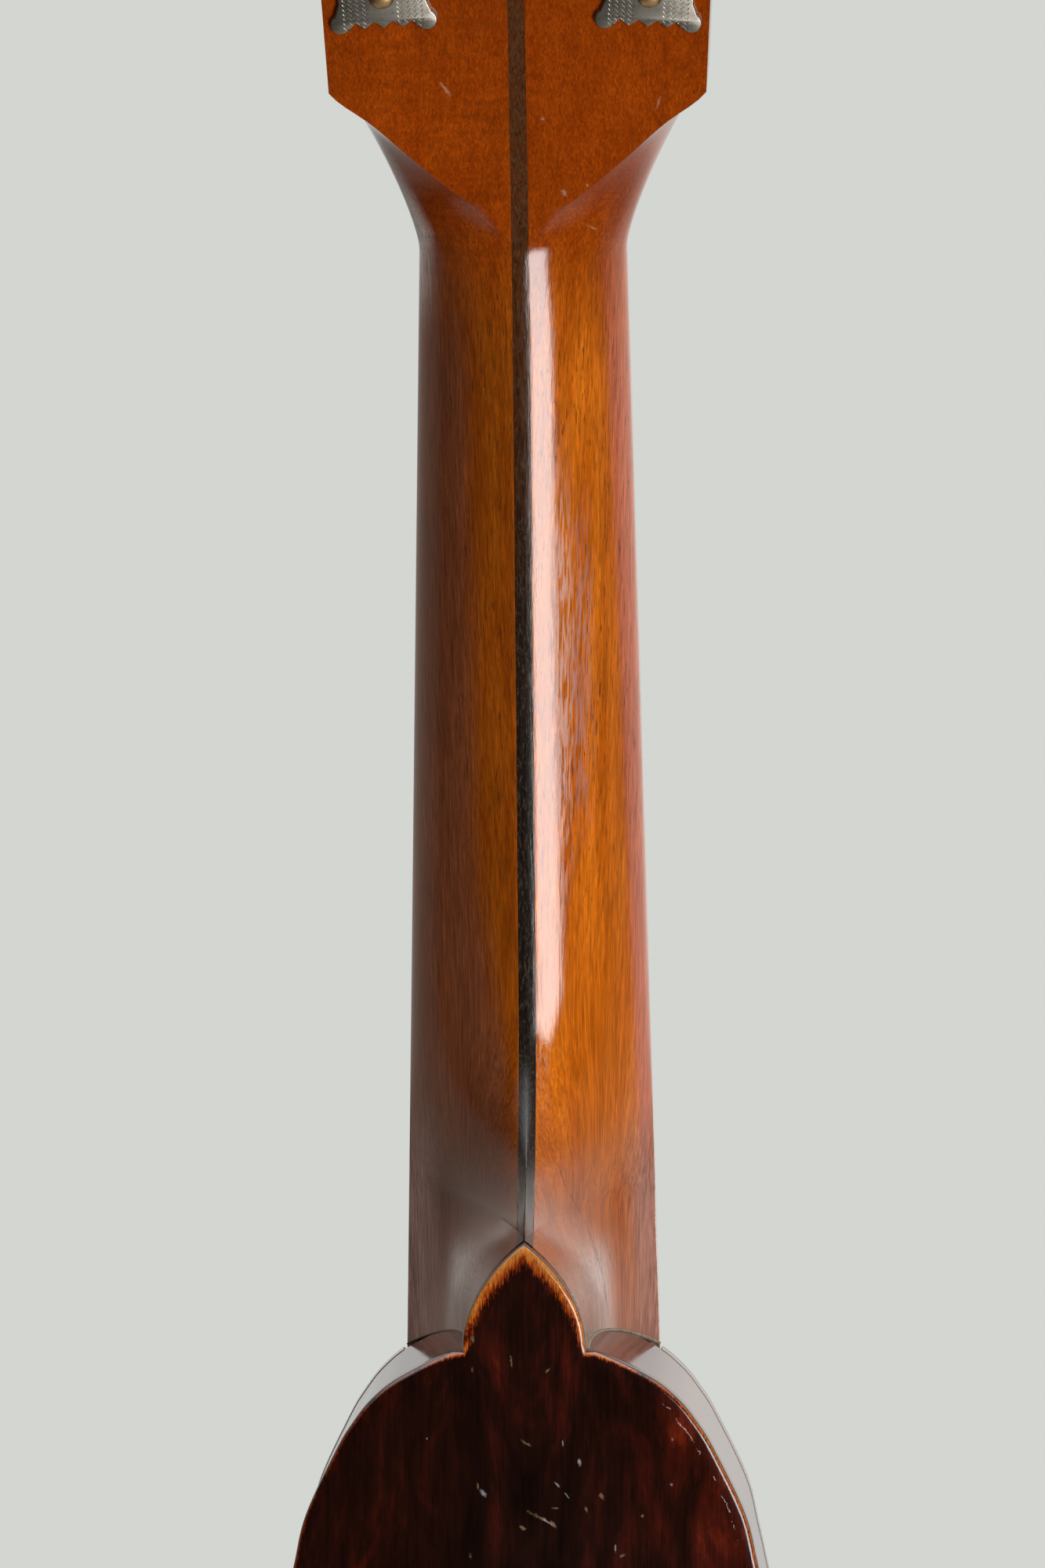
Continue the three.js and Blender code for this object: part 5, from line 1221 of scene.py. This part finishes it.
def neck_varnish():
    """Orange where hands have worn it, with grain, pores, dents, a hazy smudge with its blurred reflection
    painted in, and a painted pale fringe along the highlight
    """
    shader = Shader("neck varnish", IOR=1.6)
    x, _, z = shader.axes()
    hair = shader.noise(5200, 3, 0.6, (1, 1, 0.03))
    fine = shader.noise(2300, 4, 0.6, (1, 1, 0.03))
    broad = shader.noise(330, 4, 0.6, (1, 1, 0.07))
    patch = shader.noise(90, 3, stretch=(1, 1, 0.2))
    head = z.step(0.53, 0.562)
    color = painted_neck_sheen(shader, neck_ground(x, z, head, broad), x, z)
    color = color.shaded(fine, 0.68, 1.16).shaded(hair, 0.6, 1.17).shaded(patch, 0.84, 1.08)
    curl = shader.noise(700, 3, stretch=(0.14, 0.14, 1))
    color = color.blend(color.shaded(curl, 0.8, 1.1), head * x.step(-0.002, 0.004) * 0.8)
    gathered = shader.noise(420, 3, stretch=(1, 1, 0.12)).step(0.38, 0.6)
    pores = shader.noise(4300, 3, stretch=(1, 1, 0.07)).step(0.43, 0.35) * (gathered * 0.55 + 0.35)
    color = color.blend((0.06, 0.015, 0.004), z.step(0.425, 0.465) * z.step(0.557, 0.545) * pores * 0.85)
    dents = shader.marks(NECK_DENTS)
    color = color.blend((0.4, 0.22, 0.12), dents * 0.45)
    crack = shader.marks(strokes(HEEL_CRACK, HEEL_CRACK_HALF_WIDTH))
    color = color.blend((0.04, 0.012, 0.006), crack * 0.6)
    streaks = shader.noise(2600, 3, stretch=(1, 1, 0.05)).step(0.4, 0.6)
    # A rougher smudge in the varnish; its pale, blurred reflection is painted into the colour
    across, along = abs(x - SMUDGE_AND_SHEEN_PLACE[0]), abs(z - SMUDGE_AND_SHEEN_PLACE[1])
    smudge_and_sheen = across.step(0.0046, 0.0022) * along.step(0.033, 0.01) * streaks
    color = color.blend((0.34, 0.19, 0.165), smudge_and_sheen * 0.5)
    # Painted highlight: a faint pale, streaky fringe along the softbox highlight's edge, which is rougher as
    # well
    off_highlight_fringe = abs(x + (z.step(0.455, 0.425) * -0.0042 + 0.0062))
    highlight_fringe = off_highlight_fringe.step(0.0024, 0.0006) * z.step(0.405, 0.42) * z.step(0.53, 0.505) * streaks
    color = color.blend((0.6, 0.4, 0.3), highlight_fringe * 0.12)
    rough = broad.between(0.06, 0.09) + smudge_and_sheen * 0.22 + highlight_fringe * 0.16 + dents * 0.3
    relief = fine * 0.3 + patch * 0.8 + hair * 0.22
    return shader.finish(color, rough, relief.bump(0.00008, 0.5))


def strip_varnish():
    """Brown on the headstock, worn nearly black along the neck"""
    shader = Shader("strip varnish", IOR=1.6)
    z = shader.axes()[2]
    fine = shader.noise(3000, 4, 0.6, (1, 1, 0.04))
    wander = shader.noise(220, 3, stretch=(1, 1, 0.3)) * 0.05 - 0.025
    color = shader.mix((z + wander).step(0.47, 0.575), (0.011, 0.007, 0.005), (0.075, 0.021, 0.004))
    flecks = shader.noise(2600, 4, 0.7, (1, 1, 0.3)).step(0.5, 0.66)
    color = color.shaded(fine, 0.45, 1.35).blend((0.075, 0.056, 0.036), flecks * 0.5)
    return shader.finish(color, fine.between(0.12, 0.2), fine.bump(0.00004, 0.5))


def back_ground(shader, x, edge, fine, flame):
    """Nearly black, red where the varnish thins"""
    thin = edge.step(0.05, 0.004) * 0.22 - 0.2
    tone = flame + (thin + x.step(-0.005, -0.03) * 0.11 + shader.noise(22, 3, stretch=(1, 1, 0.5)) * 0.25)
    color = tone.ramp(
        (0.45, (0.004, 0.0013, 0.0006)), (0.64, (0.011, 0.002, 0.0008)),
        (0.78, (0.038, 0.0034, 0.0008)), (0.92, (0.14, 0.013, 0.0014)),
    )
    return color.shaded(fine, 0.6, 1.25)


def worn_edge(shader, color, x, z, edge):
    """Worn to orange along the edge and the button's tip, less on the treble side"""
    streak = shader.noise(5000, 4, 0.7, (1, 1, 0.1))
    tip = z.step(0.371, 0.392)
    reach = (tip * 0.0013 + 0.00048 + z.step(0.372, 0.378) * 0.00034) * (streak * 2.6 - 0.3)
    bare = shader.noise(190, 4, 0.7).step(0.3, 0.5)
    quiet = x.step(-0.004, 0.004) * z.step(0.378, 0.372) * 0.5
    worn = (edge / reach).step(1.6, 0.15) * bare.at_least(tip) * (1.0 - quiet)
    gold = worn.ramp(
        (0.1, (0.05, 0.006, 0.001)), (0.45, (0.22, 0.028, 0.003)),
        (0.8, (0.4, 0.1, 0.012)), (1.0, (0.46, 0.17, 0.03)),
    )
    return color.blend(gold.shaded(streak, 0.4, 1.3), worn.step(0.02, 0.5))


def back_varnish():
    """A dark ground with worn edges, a broken craze line, chips and scratches"""
    shader = Shader("back varnish", IOR=1.6)
    x, _, z = shader.axes()
    edge = shader.value("ShaderNodeAttribute", "Fac", attribute_name="edge")
    fine = shader.noise(1900, 4, 0.6, (1, 1, 0.06))
    flame = shader.noise(125, 6, 0.65, (1, 1, 0.36), distortion=0.4)
    color = worn_edge(shader, back_ground(shader, x, edge, fine, flame), x, z, edge)
    off_line = abs(edge - (shader.noise(300, 4, 0.7) * 0.0022 + 0.0011))
    broken = shader.noise(420, 3).step(0.5, 0.56)
    craze = off_line.step(0.0001, 0.00004) * broken * x.step(-0.018, -0.021)
    color = color.blend((0.4, 0.31, 0.3), craze * 0.7)
    color = shader.mix(edge.step(0.00008, 0.0003), (0.012, 0.004, 0.003), color)
    chips = shader.marks(BACK_CHIPS)
    color = color.blend((0.13, 0.07, 0.015), chips * 0.6)
    color = color.blend((0.3, 0.27, 0.29), shader.marks(BACK_SCRATCHES) * 0.6)
    rough = flame.between(0.1, 0.17) + chips * 0.25
    lines = shader.noise(1300, 2, stretch=(1, 1, 0.1), turn=(0, 0.25, 0))
    return shader.finish(color, rough, (fine * 0.5 + lines * 0.5).bump(0.00005, 0.5))


def side_varnish():
    """Dark red-brown, very glossy, with faint scuffs"""
    shader = Shader("side varnish", IOR=1.6)
    flame = shader.noise(190, 5, 0.6, (1, 0.25, 1))
    fine = shader.noise(1500, 3, 0.6, (0.06, 1, 0.06))
    color = flame.ramp(
        (0.32, (0.025, 0.005, 0.003)), (0.55, (0.07, 0.012, 0.005)), (0.75, (0.14, 0.026, 0.008)),
    )
    scuffs = shader.noise(260, 6, 0.7, (1, 0.2, 0.4), (0.2, 0.1, 0.4)).step(0.62, 0.72)
    rough = flame.between(0.07, 0.12) + scuffs * 0.1
    return shader.finish(color.shaded(fine, 0.75, 1.15), rough, flame.bump(0.00004, 0.4))


def edge_binding():
    """Aged cream on the top's face, under the sides' dark varnish on its outer face"""
    shader = Shader("edge binding", IOR=1.6)
    depth = shader.axes()[1]
    cloud = shader.noise(60, 5)
    cream = cloud.between((0.42, 0.3, 0.15), (0.62, 0.5, 0.3))
    color = cream.blend((0.3, 0.25, 0.21), depth.step((FRONT + 0.3) * MM, (FRONT + 0.6) * MM))
    return shader.finish(color, cloud.between(0.08, 0.13), cloud.bump(0.00003, 0.4))


def top_varnish():
    """Straight-grained top, amber in the middle and redder toward its edge"""
    shader = Shader("top varnish", IOR=1.55)
    edge = shader.value("ShaderNodeAttribute", "Fac", attribute_name="edge")
    lines = shader.noise(900, 3, 0.5, (1, 0, 0.004))
    fine = shader.noise(2600, 3, 0.6, (1, 1, 0.03))
    cloud = shader.noise(18, 4)
    burst = edge * 16 + cloud * 0.35
    color = burst.ramp((0.12, (0.09, 0.018, 0.006)), (0.4, (0.3, 0.08, 0.018)), (0.85, (0.52, 0.21, 0.055)))
    color = color.shaded(lines, 0.7, 1.15).shaded(fine, 0.88, 1.06)
    return shader.finish(color, cloud.between(0.14, 0.24), lines.bump(0.00004, 0.4))


def plain_wood(name, dark, middle, light, roughness=0.35):
    """Wood with grain along z, open pores and a soft sheen"""
    shader = Shader(name)
    bands = shader.noise(160, 6, 0.6, (1, 1, 0.05), distortion=0.6)
    wide = shader.noise(14, 3, stretch=(1, 1, 0.25))
    color = bands.ramp((0.25, dark), (0.5, middle), (0.78, light))
    color = color.blend(wide.between(dark, light), 0.15)
    pores = shader.noise(1500, 2, stretch=(1, 1, 0.03)).step(0.44, 0.36)
    rough = shader.noise(60, 5).between(roughness - 0.06, roughness + 0.08)
    return shader.finish(color.blend(dark, pores * 0.5), rough, bands.bump(0.00003))


def metal(name, color, darker, roughness=0.3):
    shader = Shader(name, Metallic=1.0)
    cloud = shader.noise(180, 6, 0.65)
    lines = shader.noise(2500, 2, stretch=(1, 1, 0.08), turn=(0.3, 0.2, 0.7))
    base = shader.mix(cloud.ramp((0.35, 0.0), (0.7, 1.0)), color, darker)
    rough = cloud.between(roughness - 0.08, roughness + 0.15)
    return shader.finish(base, rough, lines.bump(0.00001, 0.4))


def plain_finish(name, color, darker, roughness=0.3, coat=0.0, scale=40):
    """Bone, celluloid, ebonized wood or glue: clouded, with a fine unevenness"""
    shader = Shader(name, Coat_Weight=coat, Coat_Roughness=0.08)
    cloud = shader.noise(scale, 6, 0.6)
    base = shader.mix(cloud.ramp((0.35, 0.0), (0.75, 1.0)), color, darker)
    rough = cloud.between(roughness - 0.05, roughness + 0.1)
    return shader.finish(base, rough, shader.noise(900, 3).bump(0.00001, 0.4))


# The plates' engraving: where it starts and ends across the plate, and the zigzags in it
ENGRAVED_FROM = 2.6 * MM
ENGRAVED_TO = 6.5 * MM
ENGRAVED_FADE = 0.3 * MM
ZIGZAG_HALF_LENGTH = 0.55 * MM
ZIGZAG_PITCH = 0.8 * MM


def engraved_metal():
    """Dull nickel silver, engraved with zigzags on both sides of a plain middle band"""
    shader = Shader("tuner plate", Metallic=1.0)
    place = shader.value("ShaderNodeAttribute", "Vector", attribute_name="plate_place")
    across, _, along = shader.axes(place)
    swing = shader.math("PINGPONG", across, ZIGZAG_HALF_LENGTH)
    wave = shader.math("PINGPONG", (along + swing) / ZIGZAG_PITCH, 0.5)
    out = abs(across)
    field = out.step(ENGRAVED_FROM - ENGRAVED_FADE, ENGRAVED_FROM)
    field = field * out.step(ENGRAVED_TO, ENGRAVED_TO - ENGRAVED_FADE)
    groove = wave.step(0.34, 0.46) * field
    cloud = shader.noise(420, 6, 0.7)
    spots = shader.noise(1500, 4, 0.7).step(0.56, 0.68)
    color = cloud.ramp((0.3, (0.2, 0.18, 0.15)), (0.55, (0.34, 0.31, 0.26)), (0.75, (0.5, 0.46, 0.38)))
    color = color.blend((0.13, 0.11, 0.085), spots * 0.4).blend((0.56, 0.52, 0.42), groove * 0.45)
    height = cloud * 0.15 - groove
    return shader.finish(color, cloud.between(0.42, 0.26), height.bump(0.00007, 0.9))


# Stage, light and camera, in metres
BACKGROUND = (0.655, 0.67, 0.64)
FLOOR_COLOR = (0.4, 0.41, 0.395)
FLOOR_RADIUS = 0.6
LIGHT_PLACE = Vector((-1.135, 1.966, -0.05))
LIGHT_TARGET = Vector((0, 0, 0.45))
LIGHT_SIZE = (1.0, 1.9)
LIGHT_POWER = 60
# The room as the object sees it: dark behind the camera, pale in front of it, with soft glows
ROOM_RAMP = [
    (0.48, (0.014, 0.012, 0.011)), (0.62, (0.19, 0.155, 0.135)),
    (0.79, (0.3, 0.28, 0.26)), (0.865, (0.64, 0.65, 0.63)),
]
ROOM_TILT = (-0.25, -1.0, 0.6)
GLOWS = [
    ((0.1, 0.15, 1.0), 0.5, 0.97, (2.3, 2.3, 2.35)),
    ((-0.643, -0.766, 0.05), 0.79, 0.91, (0.52, 0.4, 0.36)),
    ((0.82, -0.57, 0.0), 0.84, 0.92, (0.22, 0.18, 0.15)),
]
CAMERA_AZIMUTH = math.radians(181.825)
CAMERA_ELEVATION = math.radians(7.486)
CAMERA_ROLL = math.radians(-0.403)
CAMERA_DISTANCE = 3.5
SENSOR_HEIGHT = 36
PIXELS_PER_METRE = 7864
TARGET = Vector((0, 0, 0.4))
TARGET_PIXEL = (673.2, 1512.4)
IMAGE_SIZE = (1333, 2000)


def make_world():
    world = bpy.data.worlds.new("studio")
    bpy.context.scene.world = world
    world.use_nodes = True
    nodes = Nodes(world.node_tree)
    place = nodes.value("ShaderNodeTexCoord", "Generated")

    def toward(direction):
        inputs = {0: place, 1: Vector(direction).normalized()}
        return nodes.value("ShaderNodeVectorMath", "Value", inputs, operation="DOT_PRODUCT")

    room = (toward(ROOM_TILT) * 0.5 + 0.5).ramp(*ROOM_RAMP)
    for direction, low, high, color in GLOWS:
        room = room.blend(color, toward(direction).step(low, high), "ADD")
    seen = room.blend(BACKGROUND, nodes.value("ShaderNodeLightPath", "Is Camera Ray"))
    nodes.tree.links.new(seen.socket, nodes.tree.nodes["Background"].inputs["Color"])


def make_floor():
    """A pale round floor whose edge fades into the background"""
    skin = Skin()
    skin.loft([ring(radius, -0.5, 64) for radius in (1, FLOOR_RADIUS / MM)], caps=False)
    floor = add_object("floor", skin.mesh("floor"))
    shader = Shader("floor", Roughness=0.95, Base_Color=(*FLOOR_COLOR, 1))
    middle = shader.place().length()
    blend = shader.value("ShaderNodeMixShader", 0, {
        0: (middle / FLOOR_RADIUS).ramp((0.35, 0.0), (0.95, 1.0), mode="EASE"),
        1: Value(shader, shader.surface.outputs[0]),
        2: shader.value("ShaderNodeBsdfTransparent", 0),
    })
    shader.tree.links.new(blend.socket, shader.tree.nodes["Material Output"].inputs["Surface"])
    floor.data.materials.append(shader.material)


def make_light():
    lamp = bpy.data.lights.new("softbox", "AREA")
    lamp.shape = "RECTANGLE"
    lamp.size, lamp.size_y = LIGHT_SIZE
    lamp.energy = LIGHT_POWER
    item = add_object("softbox", lamp)
    item.location = LIGHT_PLACE
    item.rotation_euler = (LIGHT_TARGET - LIGHT_PLACE).to_track_quat("-Z", "Y").to_euler()


def make_camera():
    a, e = CAMERA_AZIMUTH, CAMERA_ELEVATION
    back = Vector((math.sin(a) * math.cos(e), -math.cos(a) * math.cos(e), math.sin(e)))
    level = Vector((math.cos(a), math.sin(a), 0))
    up = back.cross(level)
    right = level * math.cos(CAMERA_ROLL) + up * math.sin(CAMERA_ROLL)
    up = up * math.cos(CAMERA_ROLL) - level * math.sin(CAMERA_ROLL)
    place = TARGET + back * CAMERA_DISTANCE
    off_x = (IMAGE_SIZE[0] / 2 - TARGET_PIXEL[0]) / PIXELS_PER_METRE
    off_y = (TARGET_PIXEL[1] - IMAGE_SIZE[1] / 2) / PIXELS_PER_METRE
    toward = (TARGET + right * off_x + up * off_y - place).normalized()
    side = toward.cross(up).normalized()
    data = bpy.data.cameras.new("camera")
    data.sensor_fit = "VERTICAL"
    data.sensor_height = SENSOR_HEIGHT
    data.lens = SENSOR_HEIGHT * PIXELS_PER_METRE * CAMERA_DISTANCE / IMAGE_SIZE[1]
    camera = add_object("camera", data)
    turn = Matrix((side, side.cross(toward), -toward)).transposed()
    camera.matrix_world = Matrix.Translation(place) @ turn.to_4x4()
    bpy.context.scene.camera = camera


# Everything together
make_camera()
make_world()
make_floor()
make_light()

neck_wood = neck_varnish()
strip_wood = strip_varnish()
back_wood = back_varnish()
side_wood = side_varnish()
top_wood = top_varnish()
ebony = plain_wood("ebony", (0.006, 0.005, 0.005), (0.015, 0.012, 0.011), (0.03, 0.024, 0.02))
inner_wood = plain_wood("bare wood", (0.4, 0.25, 0.12), (0.55, 0.37, 0.19), (0.65, 0.47, 0.27), 0.7)
ivory = plain_finish("binding", (0.62, 0.5, 0.3), (0.42, 0.3, 0.15), 0.2, 0.6)
bone = plain_finish("bone", (0.75, 0.69, 0.55), (0.6, 0.52, 0.36), 0.35)
shell = plain_finish("pickguard", (0.12, 0.03, 0.012), (0.4, 0.14, 0.03), 0.2, 1.0, 25)
knob = plain_finish("knob", (0.75, 0.66, 0.45), (0.62, 0.5, 0.3), 0.3, 0.4)
crack = plain_finish("old crack", (0.012, 0.008, 0.006), (0.05, 0.03, 0.02), 0.35, 0.0, 900)
glue = plain_finish("old glue", (0.3, 0.24, 0.17), (0.08, 0.055, 0.04), 0.45, 0.0, 1300)
nickel = metal("nickel", (0.62, 0.58, 0.5), (0.42, 0.38, 0.31))
brass = metal("brass", (0.6, 0.4, 0.18), (0.35, 0.2, 0.09), 0.35)
steel = metal("steel", (0.6, 0.6, 0.58), (0.4, 0.39, 0.37), 0.25)
bronze = metal("bronze", (0.62, 0.4, 0.2), (0.4, 0.24, 0.12), 0.35)


def put_on(material, *pieces):
    for piece in pieces:
        piece.data.materials.clear()
        piece.data.materials.append(material)


put_on(back_wood, make_back())
put_on(top_wood, make_top())
put_on(side_wood, *(make_rim(name, side) for name, side in SIDES.items()))
put_on(edge_binding(), make_binding())
put_on(ivory, make_rosette())
put_on(ebony, make_board(), make_pad())
put_on(ivory, make_board_binding())
put_on(nickel, make_frets())
put_on(bone, make_dots())
neck = make_neck()
put_on(neck_wood, neck["neck_bass"], neck["neck_treble"])
put_on(strip_wood, neck["strip"])
put_on(ebony, neck["veneer"])
joints = make_joints()
put_on(crack, joints["treble"])
put_on(glue, joints["bass"])
tuners = make_tuners()
put_on(engraved_metal(), *tuners["plates"])
put_on(brass, *tuners["screws"], *tuners["posts"])
put_on(steel, *tuners["worms"])
put_on(knob, *tuners["knobs"])
put_on(nickel, *tuners["bushings"])
strings = make_strings()
put_on(bronze, *strings["wound"])
put_on(steel, *strings["plain"])
for node, name, slot, width, material in (
    ("nut", "nut_piece", "bone", 0.35, bone),
    ("bridge", "bridge_piece", "bridge_ebony", 0.4, ebony),
    ("pickguard", "pickguard_piece", "pickguard", 0.5, shell),
    ("pickguard_bracket", "bracket_piece", "nickel_plate", 0.25, nickel),
    ("tailpiece_base", "tailpiece_plate", "nickel_plate", 0.2, nickel),
    ("end_pin", "end_pin_piece", "pin_ebony", 0.4, ebony),
):
    put_on(material, softened(name, node, width))
put_on(nickel, softened("cover_piece", "tailpiece_cover", 0.2, body="cover"))
for node in ("neck_block", "tail_block", "top_brace", "lining_top_bass", "lining_top_treble",
             "lining_back_bass", "lining_back_treble"):
    for material_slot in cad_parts[node].material_slots:
        material_slot.material = inner_wood

bpy.context.scene.view_settings.view_transform = "Standard"
